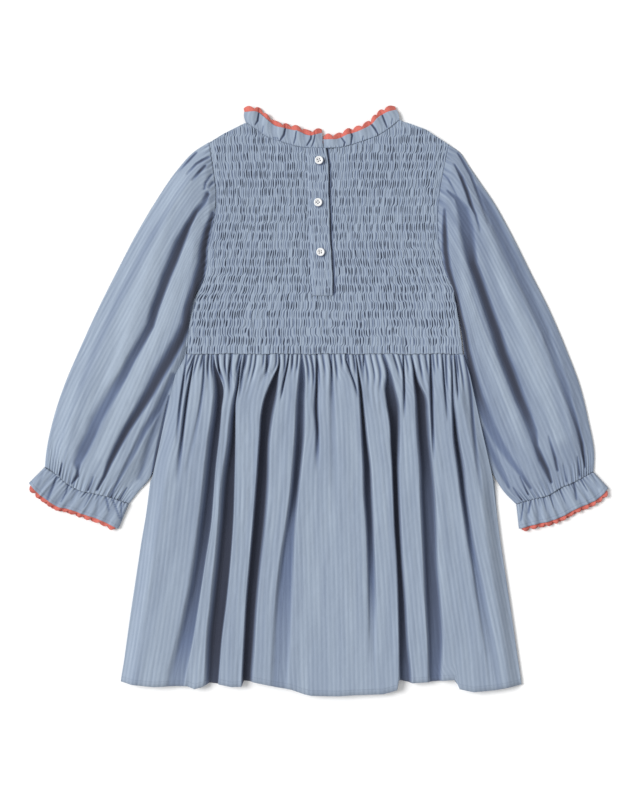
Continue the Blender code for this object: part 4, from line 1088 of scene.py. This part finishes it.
def gathered_skirt():
    """Grid of the skirt's back. Columns follow the sides of the deep folds, and its
    height is the crest less each fold's trough: a flat floor between its sides, with
    an eased wall on either side. Slits are narrow troughs that fade from the waist."""
    t = np.linspace(0, 1, SKIRT_ROWS)
    rows = 50.9 - (50.9 + 313) * (0.5 * t + 0.5 * t**2)
    guides = [read(SKIRT_SIDES, rows)]
    for _, table in SKIRT_FOLDS:
        guides += [bend(table, rows), bend(table, rows, 2)]
    guides = np.array(guides + [read(SKIRT_SIDES, rows, 2)])
    cells = [FIRST_CELLS]
    for (_, _, inside, beside), _ in SKIRT_FOLDS:
        cells += [inside, beside]
    at = np.concatenate([np.linspace(k, k + 1, n, endpoint=False) for k, n in enumerate(cells)])
    at = np.append(at, len(cells))
    k = np.minimum(at.astype(int), len(cells) - 1)
    part = (at - k)[:, None]
    x = guides[k] * (1 - part) + guides[k + 1] * part
    crest = read(SKIRT_RISE, rows)[None]
    low = np.zeros_like(x)
    shade = np.zeros_like(x)
    for (soft_left, soft_right, _, _), table in SKIRT_FOLDS:
        left, right, dark = (bend(table, rows, field) for field in (1, 2, 3))
        dark = np.clip(dark, 0, 1)
        growth = 0.45 + 0.55 * ease((40 - rows) / 60)
        wide_left, wide_right = soft_left * growth, soft_right * growth
        from_left = ease((x - left) / wide_left + 0.32)
        from_right = ease((right - x) / wide_right + 0.5)
        trough = from_left * from_right
        # Each fold lowers the cloth and paints shade over its floor.
        low = np.maximum(low, trough * (crest - VALLEY_Z) * np.minimum(1, dark * 1.1))
        shade = np.maximum(shade, trough * dark * FOLD_SHADE)
    for table in SHORT_FOLDS:
        line = bend(table, rows)
        width, dark = read(table, rows, 2), read(table, rows, 3)
        section = np.exp(-(np.abs(x - line) / width) ** 2.5) * dark
        # Each short fold lowers the cloth and paints shade along its line.
        low = np.maximum(low, section * 6)
        shade = np.maximum(shade, section)
    chance = np.random.default_rng(51)
    ends = guides[:, 8][[0, -1]]
    spots = np.linspace(*ends, SLITS + 2)[1:-1] + chance.uniform(-1.6, 1.6, SLITS)
    where = np.interp(spots, guides[:, 8], np.arange(len(guides)))
    k = where.astype(int)
    part = (where - k)[:, None]
    lines = guides[k] * (1 - part) + guides[k + 1] * part
    length = chance.uniform(14, 36, SLITS) + 30 * chance.random(SLITS) ** 3
    width = chance.uniform(0.75, 1.2, SLITS)
    dark = chance.uniform(0.6, 1.0, SLITS)
    fall = 50.9 - rows
    fade = ease((length[:, None] - fall) / (0.6 * length[:, None])) * ease(fall / 2.0 + 0.5)
    away = np.abs(x[:, None] - lines[None])
    narrow = np.exp(-((away / width[:, None]) ** 2)) * fade * dark[:, None]
    broad = np.exp(-((away / 2.6) ** 2)) * ease((1.5 * length[:, None] - fall) / 14)
    crests = np.exp(-(((away - 2.6) / 1.3) ** 2)) * fade
    # The slits are lowered, and their darkness is painted shade.
    low += SLIT_DEPTH * narrow.max(1) + 1.1 * broad.max(1)
    shade = np.maximum(shade, narrow.max(1))
    z = np.maximum(crest - low, np.minimum(VALLEY_Z + 0 * crest, crest))
    lobes = crumple(30, 9, x.shape, 52)
    z += 0.5 * lobes * ease((30 - rows) / 60) + 0.22 * crumple(90, 24, x.shape, 53)
    z = np.maximum(z, VALLEY_Z)
    streaks = crumple(64, 5, x.shape, 54) + 0.6 * crumple(130, 9, x.shape, 55)
    # Random streaks of tone, a little painted shade all over, and painted highlight on the crests beside the slits.
    light = 0.07 * streaks + 0.09 - 0.24 * crests.max(1)
    shade += light * (1 - np.clip(shade * 1.3, 0, 1))
    near = np.minimum(x - guides[:1], guides[-1:] - x)
    side = read(SKIRT_RISE, rows, 2)[None]
    z = side + (z - side) * ease(near / SIDE_ROLL)
    y = skirt_hem(x, rows + 0 * x, rows[-1]) + waist_line(x) * ease((rows - 38) / 13)
    return np.dstack((x, y, z)), shade, cells


def lobe_places(grid, cells):
    """Place of each point on the flat cloth. It is measured from the middle of each
    lobe between two deep folds, so the stripes stay even there and meet in the folds."""
    cut = spread(grid, 0)
    edge = np.concatenate(([0], np.cumsum(cells)))
    middles = (edge[0:-1:2] + edge[1::2]) // 2
    joins = (edge[1:-1:2] + edge[2::2]) // 2
    lobe = np.searchsorted(joins, np.arange(len(grid)), side="right")
    cut[..., 0] -= cut[middles[lobe], :, 0]
    cut[..., 0] += 7.3 * lobe[:, None] + 0.04 * (grid[middles[lobe], :, 1] - 51)
    return cut


grid, shade, cells = gathered_skirt()
above_hem = np.linalg.norm(grid - grid[:, -1:], axis=2)
cut = lobe_places(grid, cells)
skirt = cloth("skirt_back_panel", grid[:, ::-1], cut[:, ::-1], shade[:, ::-1], above_hem[:, ::-1])
place_piece(skirt, "blue_cotton", "skirt_back")

# The back of the bodice is shirred all over: rows of elastic thread 9.5 mm apart draw
# the cloth into small puffs, with a short slit between many a puff and the next, its
# darkness painted shade.
SMOCK_ROWS = 27
ROW_CELLS = 7
PUFFS = 108
PUFF_PLACES = (0.0, 0.26, 0.52, 0.78)
# SIDE_DARK is painted shade and SIDE_LIGHT painted highlight at the four places across a puff, by how open the groove
# beside it is; SIDE_LOW is how far each place drops.
SIDE_DARK = (1.45, 0.42, 0.0, 0.5)
SIDE_LIGHT = (0.0, 0.75, 1.2, 0.1)
SIDE_LOW = (0.6, 0.15, 0.0, 0.2)
BODICE_INSIDE = 1.5
SMOCK_LOW = 3.1
SMOCK_RISE = 2.1
SLIT_LEAN = 0.26
THREAD_ZONE = 0.2  # share of a row in which the puffs change over to the next row's
# A little painted shade over all the smocking.
SMOCK_SHADE = 0.03


def smocking(puffs, rows, seed, flatness=0.0):
    """Rows of puffs on a grid. Returns for each point its share across, its height from
    0 to 1 and how dark it is painted: painted shade in the slits and grooves, painted
    highlight beside them. Puff sides wander from row to row and lean. Slits open
    at puff sides in runs: each is half an ellipse along its row. A puff is round in
    section and droops a little towards the elastic threads."""
    chance = np.random.default_rng(seed)
    at = np.arange(rows * ROW_CELLS) / ROW_CELLS
    row = at.astype(int)
    up = at - row
    shape = (puffs + 1, rows)
    wander = chance.uniform(-0.4, 0.4, shape) + 0.5 * (np.arange(rows) % 2) - 0.25
    lean = chance.normal(0, SLIT_LEAN, shape)
    wander[[0, -1]] = 0
    lean[[0, -1]] = 0
    after, before = np.minimum(row + 1, rows - 1), np.maximum(row - 1, 0)
    to_after = ease((up - 1 + THREAD_ZONE) / (2 * THREAD_ZONE))
    to_before = ease((THREAD_ZONE - up) / (2 * THREAD_ZONE))
    own = wander[:, row] + lean[:, row] * (up - 0.5)
    above = wander[:, after] + lean[:, after] * (up - 1.5)
    below = wander[:, before] + lean[:, before] * (up + 0.5)
    sides = own * (1 - to_after - to_before) + above * to_after + below * to_before
    sides = np.arange(puffs + 1)[:, None] + sides
    parts = np.array(PUFF_PLACES)
    x = sides[:-1, None] + (sides[1:] - sides[:-1])[:, None] * parts[None, :, None]
    x = np.concatenate((x.reshape(puffs * len(parts), -1), sides[-1:])) / puffs
    runs = crumple(max(4, puffs // 4), rows, shape, seed + 1)
    regions = crumple(6, 5, shape, seed + 2)
    opened = 0.40 + 0.65 * runs + 0.2 * regions + chance.normal(0, 0.45, shape) - flatness
    opened = np.clip(opened * 1.25, 0, 1.15)
    middle = chance.uniform(0.36, 0.64, shape)
    half = chance.uniform(0.28, 0.52, shape)
    along = (up - middle[:, row]) / half[:, row]
    slit = opened[:, row] * np.sqrt(np.clip(1 - along**2, 0, 1))
    faint = chance.uniform(0.10, 0.55, shape)[:, row] * (0.45 + 0.55 * np.sin(np.pi * up))
    size = np.clip(1 + 0.22 * chance.standard_normal((puffs, rows)), 0.5, 1.3)[:, row]
    arch = 0.72 + 0.28 * np.sin(np.pi * up) ** 0.8
    groove = np.maximum(slit, faint)
    left, right = groove[:-1, None], groove[1:, None]
    near_left = np.array([1, 1, 1, 0])[None, :, None]
    beside = left * near_left + right * (1 - near_left)
    # Painted shade in the slits and grooves and painted highlight beside them; tint is random tone.
    dark = beside * np.array(SIDE_DARK)[None, :, None]
    dark = dark - beside * np.array(SIDE_LIGHT)[None, :, None] + SMOCK_SHADE
    tint = chance.uniform(-0.14, 0.14, (puffs, len(parts), rows))[..., row]
    dark = dark + tint
    drop = np.array(SIDE_LOW)[None, :, None] * (0.5 + 0.9 * beside)
    height = size[:, None] * arch * (1 - drop)
    dark = np.concatenate((dark.reshape(puffs * len(parts), -1), groove[-1:]))
    height = height.reshape(puffs * len(parts), -1)
    height = np.concatenate((height, height[-1:]))
    return x, height, dark


def solid_sheet(name, points, cut, shade, low, material=cotton):
    """A raised cloth with a plain flat inside: the grid of points, walls straight down
    from its rim, and one flat face at the height low."""
    columns, rows = points.shape[:2]
    index = np.arange(columns * rows).reshape(columns, rows)
    rim = np.concatenate((index[:, 0], index[-1, 1:], index[-2::-1, -1], index[0, -2:0:-1]))
    flat = points.reshape(-1, 3)
    below = flat[rim] * (1, 1, 0) + (0, 0, low)
    a, b = index[:-1, :-1].ravel(), index[1:, :-1].ravel()
    quads = np.stack((a, b, b + 1, a + 1), -1).tolist()
    ring = np.arange(len(rim)) + len(flat)
    following = np.roll(ring, -1)
    quads += np.stack((np.roll(rim, -1), rim, ring, following), -1).tolist()
    faces = quads + [ring[::-1].tolist()]
    mesh = bpy.data.meshes.new(name)
    mesh.from_pydata((np.concatenate((flat, below)) * MM).tolist(), [], faces)
    chart = mesh.uv_layers.new(name="cut")
    places = np.concatenate((cut.reshape(-1, 2), cut.reshape(-1, 2)[rim]))
    corners = np.empty(len(mesh.loops), int)
    mesh.loops.foreach_get("vertex_index", corners)
    chart.data.foreach_set("uv", (places[corners] * MM).ravel())
    layer = mesh.attributes.new("shade", "FLOAT", "POINT")
    dark = np.concatenate((shade.ravel(), shade.ravel()[rim]))
    layer.data.foreach_set("value", dark.astype(np.float32))
    mesh.materials.append(material)
    mesh.shade_smooth()
    piece = bpy.data.objects.new(name, mesh)
    bpy.context.scene.collection.objects.link(piece)
    return piece


OVERLAP_EDGE = (
    (6.0, 277.2),
    (7.6, 267),
    (8.5, 257),
    (9.3, 217),
    (10.5, 179),
    (12.5, 149),
    (13.8, 115),
)

x, height, dark = smocking(PUFFS, SMOCK_ROWS, 61)
y = 51.05 + (309 - 51.05) * np.arange(SMOCK_ROWS * ROW_CELLS) / (SMOCK_ROWS * ROW_CELLS - 1)
wave = 1.1 * crumple(16, 12, x.shape, 63) + 0.9 * crumple(54, 26, x.shape, 67)
wave *= ease((y - 51.5) / 12)
left = bodice_side(LEFT_SIDE, LEFT_ARMHOLE, y)
right = bodice_side(RIGHT_SIDE, RIGHT_ARMHOLE, y)
plan_x, plan_y = bodice_plan(x, y[None])
plan_y = np.minimum(plan_y + wave, plan_y + 1.5)
plan_y += waist_line(plan_x) * ease((64 - y) / 13)
top = np.interp(plan_x, *np.array(BODICE_TOP).T)
plan_y = np.minimum(plan_y, top - 0.03 * np.arange(len(y))[::-1])
side_edge = np.minimum(plan_x - left, right - plan_x)
calm = ease(side_edge / 9 + 0.1) * ease((top - plan_y) / 3 + 0.3)
z = SMOCK_LOW + SMOCK_RISE * height * (0.45 + 0.55 * calm) + 0.15 * crumple(40, 30, x.shape, 64)
z += 0.5 * ease((60 - plan_y) / 8)
# The smocking's painted shade and highlight, weaker where the cloth lies calm, and a little random tone.
shade = SMOCK_SHADE + (dark - SMOCK_SHADE) * (0.35 + 0.65 * calm)
shade += 0.05 * crumple(8, 9, x.shape, 65)
# Painted shade in a soft band along the armhole seams, narrower towards the shoulders.
seam = ease((plan_y - 166) / 10) * ease((250 - plan_y) / 20)
shade += 0.30 * seam * np.exp(-((side_edge / 2.4) ** 2))
shade += 0.18 * ease((plan_y - 250) / 20) * np.exp(-((side_edge / 1.2) ** 2))
# Painted shadow on the bodice just right of the strip's free edge.
lap = plan_x - np.interp(plan_y, *np.array(OVERLAP_EDGE)[::-1, ::-1].T)
lap_width = 1.7 + 0.8 * crumple(3, 26, x.shape, 66)
painted_lap_shadow = np.exp(-(((lap - 0.9) / lap_width) ** 2)) * ease((plan_y - 112) / 8)
shade = np.maximum(shade, 0.98 * painted_lap_shadow)
grid = np.dstack((plan_x, plan_y, z))
cut = np.stack((plan_x * 1.55, plan_y), -1)
bodice = solid_sheet("bodice_back_smocked", grid, cut, shade, BODICE_INSIDE)
place_piece(bodice, "blue_cotton", "bodice_back")

# The back opens from the neck half way down. A smocked strip laps over the opening and
# carries three buttons, and its free edge throws a shadow to the right, partly real and
# partly painted on the bodice. The buttons' shadows on the strip are painted.
STRIP_WIDTH = 23.0
STRIP_LOW = 5.83
STRIP_PUFFS = 10
STRIP_ROWS = 17
BUTTONS = (("top", -1.6, 263.5, 20), ("middle", -2.7, 217.3, 45), ("low", 0.0, 162.8, 8))

x, height, dark = smocking(STRIP_PUFFS, STRIP_ROWS, 71, 0.12)
y = 115 + (277 - 115) * np.arange(STRIP_ROWS * ROW_CELLS) / (STRIP_ROWS * ROW_CELLS - 1)
right = np.interp(y, *np.array(OVERLAP_EDGE)[::-1, ::-1].T)
plan_x = right - STRIP_WIDTH + STRIP_WIDTH * x
plan_x += 0.35 * crumple(1, 20, x.shape, 73) * ease((x - 0.7) / 0.3)
plan_y = y + 0.7 * crumple(3, 12, x.shape, 72) * ease((y - 115) / 8) * ease((277 - y) / 8)
inward = ease((right - plan_x) / 2.0 + 0.2)
outward = ease((plan_x - right + STRIP_WIDTH) / 2.4)
z = STRIP_LOW + 0.35 + 1.05 * height * (0.5 + 0.5 * inward) * (0.7 + 0.3 * outward)
z = z - 0.9 * (1 - np.minimum(outward, ease((y - 115) / 3)))
grid = np.dstack((plan_x, plan_y, z))
cut = np.stack((plan_x * 1.4, plan_y), -1)
# The strip's own painted shade and highlight, weaker close to its free edge.
shade = SMOCK_SHADE + (dark - SMOCK_SHADE) * (0.3 + 0.7 * inward)
# Painted shadow of each button on the strip, a little below it and to its right.
for _, centre_x, centre_y, _ in BUTTONS:
    away = np.hypot(plan_x - centre_x - 1.2, plan_y - centre_y + 1.6)
    shade = np.maximum(shade, 0.6 * np.exp(-((away / 4.6) ** 6)))
strip = solid_sheet("placket_strip", grid, cut, shade, 4.6)
place_piece(strip, "blue_cotton", "placket")

# The buttons are white, with four holes and a raised rim, sewn on with white thread.
BUTTON_RADIUS = 4.55
BUTTON_SEAT = 7.85
HOLE_PLACE = 1.05
HOLE_RADIUS = 0.72


def button_white():
    """Polished white plastic with a faint cloudy tint, and painted shade inside its holes."""
    material, shader, start = finish("white_button", 0.3)
    place = start.node("ShaderNodeTexCoord", out=3)
    cloud = start.noise(place, 420, 2)
    flat = cloud.mix((0.74, 0.75, 0.76, 1), (0.84, 0.84, 0.84, 1))
    # Painted shade inside the holes, from each point's shade value.
    painted_shade = start.node("ShaderNodeAttribute", {"attribute_name": "shade"}, out=2).clamp()
    join(painted_shade.mix(flat, (0.10, 0.10, 0.13, 1)), shader, "Base Color")
    bump = start.node("ShaderNodeBump", {}, {"Strength": 0.1, "Distance": MM, "Height": cloud})
    join(bump, shader, "Normal")
    join(0.25 + cloud * 0.12, shader, "Roughness")
    return material


white = button_white()
BUTTON_PROFILE = (
    (0.02, 1.25),
    (0.4, 1.25),
    (0.7, 1.25),
    (0.95, 1.25),
    (1.2, 1.25),
    (1.45, 1.25),
    (1.7, 1.25),
    (1.95, 1.25),
    (2.2, 1.25),
    (2.45, 1.25),
    (2.8, 1.32),
    (3.1, 1.75),
    (3.4, 2.1),
    (3.8, 2.2),
    (4.2, 1.95),
    (4.5, 1.5),
    (4.55, 1.1),
    (4.3, 0.4),
    (3.7, 0.0),
    (0.02, 0.0),
)
TURNS = 56

for label, centre_x, centre_y, turned in BUTTONS:
    radius, height = np.array(BUTTON_PROFILE).T
    angle = np.linspace(0, 2 * np.pi, TURNS, endpoint=False)[::-1, None]
    x, y = radius * np.cos(angle), radius * np.sin(angle)
    hole_angle = angle - np.radians(turned)
    hole_x, hole_y = np.abs(radius * np.cos(hole_angle)), np.abs(radius * np.sin(hole_angle))
    hole = np.hypot(hole_x - HOLE_PLACE, hole_y - HOLE_PLACE)
    pit = ease((HOLE_RADIUS + 0.12 - hole) / 0.24) * (np.arange(len(radius)) < 12)
    z = BUTTON_SEAT + 0.3 + height - 0.9 * pit
    grid = np.dstack((centre_x + x, centre_y + y, z))
    looped = np.concatenate((grid, grid[:1]))
    # pit lowers each hole and is also its painted shade.
    made = cloth(
        f"button_{label}_white", grid, spread(looped), pit, wall=0, closed=True, material=white
    )
    place_piece(made, "white_button", f"button_{label}")

# A gathered frill of doubled cloth stands round the neck, with zigzag braid behind its
# edge. At the back it lies in flat pleats in two halves that meet at the opening.
LEFT_NECK = (
    (-81, 305.3),
    (-71, 298.7),
    (-60, 291),
    (-42, 284.4),
    (-27, 280),
    (-12, 277.8),
    (2.6, 277.6),
)
LEFT_FRILL = (
    (-83.6, 317),
    (-68, 316.3),
    (-59, 308.6),
    (-48, 301),
    (-38, 298.7),
    (-24, 295.4),
    (-12, 291),
    (1.7, 294),
)
RIGHT_NECK = (
    (3.6, 277.6),
    (22.6, 278.9),
    (36, 282.2),
    (49, 286.6),
    (62, 291.2),
    (74, 298.7),
    (86.0, 308.4),
)
RIGHT_FRILL = (
    (3.2, 286.8),
    (17, 287),
    (30, 292),
    (46, 297.6),
    (57, 304.2),
    (64, 311.5),
    (72, 316),
    (83, 319.5),
)
FRILL_COLUMNS = 200
FRILL_ROWS = 18
NECK_SEAM_Z = 5.0
NECK_PITCH = 12.2
# Pleats of the frill: x, y, half width, depth and darkness (painted shade) from its edge to its seam
LEFT_PLEATS = (
    ((-67.7, 316, 0.8, 1.4, 1), (-68.9, 307.2, 1.1, 1.4, 1), (-71.9, 302.4, 0.6, 1, 0.8)),
    ((-62.7, 301, 0.8, 0.6, 0.4), (-64, 295, 0.7, 0.6, 0.45)),
    ((-38.4, 299, 1.0, 1.4, 1), (-40, 291.8, 1.3, 1.4, 1), (-44.5, 285, 0.8, 1, 0.9)),
    ((-26.5, 295, 0.7, 1.0, 0.7), (-27.6, 288, 0.8, 1.0, 0.8), (-29, 282.5, 0.7, 0.8, 0.7)),
    ((-9.6, 294, 0.9, 1.4, 1), (-10.6, 287, 1.1, 1.4, 1), (-14.9, 280, 0.7, 1, 0.9)),
    ((-5.6, 293, 0.6, 1.0, 0.8), (-7.2, 284.5, 0.8, 1.1, 0.85), (-9.6, 279, 0.6, 0.8, 0.8)),
    ((-47, 288, 0.7, 0.6, 0.5), (-52, 288.6, 0.6, 0.6, 0.4)),
)
RIGHT_PLEATS = (
    ((22.6, 289, 0.7, 1.0, 0.8), (26.8, 283.3, 0.9, 1.2, 0.9), (25.4, 278, 0.6, 0.8, 0.7)),
    ((33.2, 296, 1.0, 1.4, 1), (34.9, 290.6, 1.1, 1.3, 1), (33.4, 281, 0.7, 1, 0.9)),
    ((54.4, 305, 1.0, 1.4, 1), (60, 298, 1.1, 1.3, 1), (63.4, 291.6, 0.7, 1, 0.85)),
    ((67.6, 314, 0.9, 1.3, 1), (70.5, 306.6, 1.0, 1.3, 1), (73.2, 300, 0.7, 1, 0.85)),
    ((47, 290, 0.7, 0.6, 0.4), (46, 286, 0.6, 0.6, 0.5)),
    ((79, 309, 0.8, 0.6, 0.35), (78, 304, 0.7, 0.6, 0.35)),
)


def neck_frill(side, seam, edge, pleats, waves, seed):
    """Half of the frill: the plan between the neck seam and the frill's edge, in soft
    waves, less its pleats, with the braid behind its edge."""
    u, v = np.linspace(0, 1, FRILL_COLUMNS), np.linspace(0, 1, FRILL_ROWS)
    begin = smooth([(x, y - 0.5) for x, y in seam], u)
    end = smooth(edge, u)
    first = begin[0] + (end[0] - begin[0]) * v[:, None]
    last = begin[-1] + (end[-1] - begin[-1]) * v[:, None]
    bulge = 1.6 * np.sin(np.pi * v) ** 0.7
    if side == "left":
        first[:, 0] -= bulge
    else:
        last[:, 0] += bulge
    plan = fill_in(begin, end, first, last, u, v)
    wave = 0.5 - 0.5 * np.cos(2 * np.pi * waves * u)[:, None]
    z = NECK_SEAM_Z - 0.6 * v[None] + (0.4 + 2.4 * v[None]) * wave
    # Painted shade along the neck seam and in the troughs of the waves.
    shade = 0.16 * np.exp(-((v[None] / 0.07) ** 2)) + 0.10 * (1 - wave) ** 2 + 0 * z
    # Each pleat is lowered and painted with shade.
    for rows in pleats:
        low, dark = fold_line(plan, rows, 3.0)
        z -= low
        shade = np.maximum(shade, 0.95 * dark)
    tiny = gathers(30, FRILL_COLUMNS, seed)[:, None] * ease(1 - v[None] / 0.4)
    z += 0.35 * tiny
    # Painted shade in the tiny gathers' troughs and painted highlight on their crests.
    shade += 0.22 * np.clip(-tiny, 0, 1) - 0.15 * np.clip(tiny, 0, 1)
    z = np.maximum(z, 3.6)
    grid = np.dstack((plan, z))
    frill = cloth(f"neck_frill_{side}_half", grid, spread(grid), shade)
    place_piece(frill, "blue_cotton", f"neck_frill_{side}")
    out = plan[:, -1] - plan[:, 0]
    made = braid(f"zigzag_neck_{side}", grid[:, -1], out, seed + 3, NECK_PITCH, 1.6, 0.75)
    place_piece(made, "coral_braid", f"neck_braid_{side}")


FRONT_DROP = 3.0
FRONT_DIP_Y = 286.0
u, v = np.linspace(0, 1, 90), np.linspace(0, 1, 6)
low = smooth([(x, y + 0.3) for x, y in LEFT_NECK + RIGHT_NECK], u)
line = LEFT_FRILL[:-2] + ((0, FRONT_DIP_Y),) + RIGHT_FRILL[1:]
high = smooth([(x * 0.995, y - FRONT_DROP) for x, y in line], u)
first = low[0] + (high[0] - low[0]) * v[:, None]
last = low[-1] + (high[-1] - low[-1]) * v[:, None]
plan = fill_in(low, high, first, last, u, v)
grid = np.dstack((plan, np.full(plan.shape[:2], FRONT_Z)))
band = place_piece(
    cloth("neck_frill_front_band", grid, spread(grid)), "blue_cotton", "neck_frill_front"
)
line = grid[:, -1].copy()
line[:, 2] = BRAID_WALL
made = braid("zigzag_neck_front", line, plan[:, -1] - plan[:, 0], 87, NECK_PITCH)
place_piece(made, "coral_braid", "neck_braid_front")
neck_frill("left", LEFT_NECK, LEFT_FRILL, LEFT_PLEATS, 5, 81)
neck_frill("right", RIGHT_NECK, RIGHT_FRILL, RIGHT_PLEATS, 5, 91)
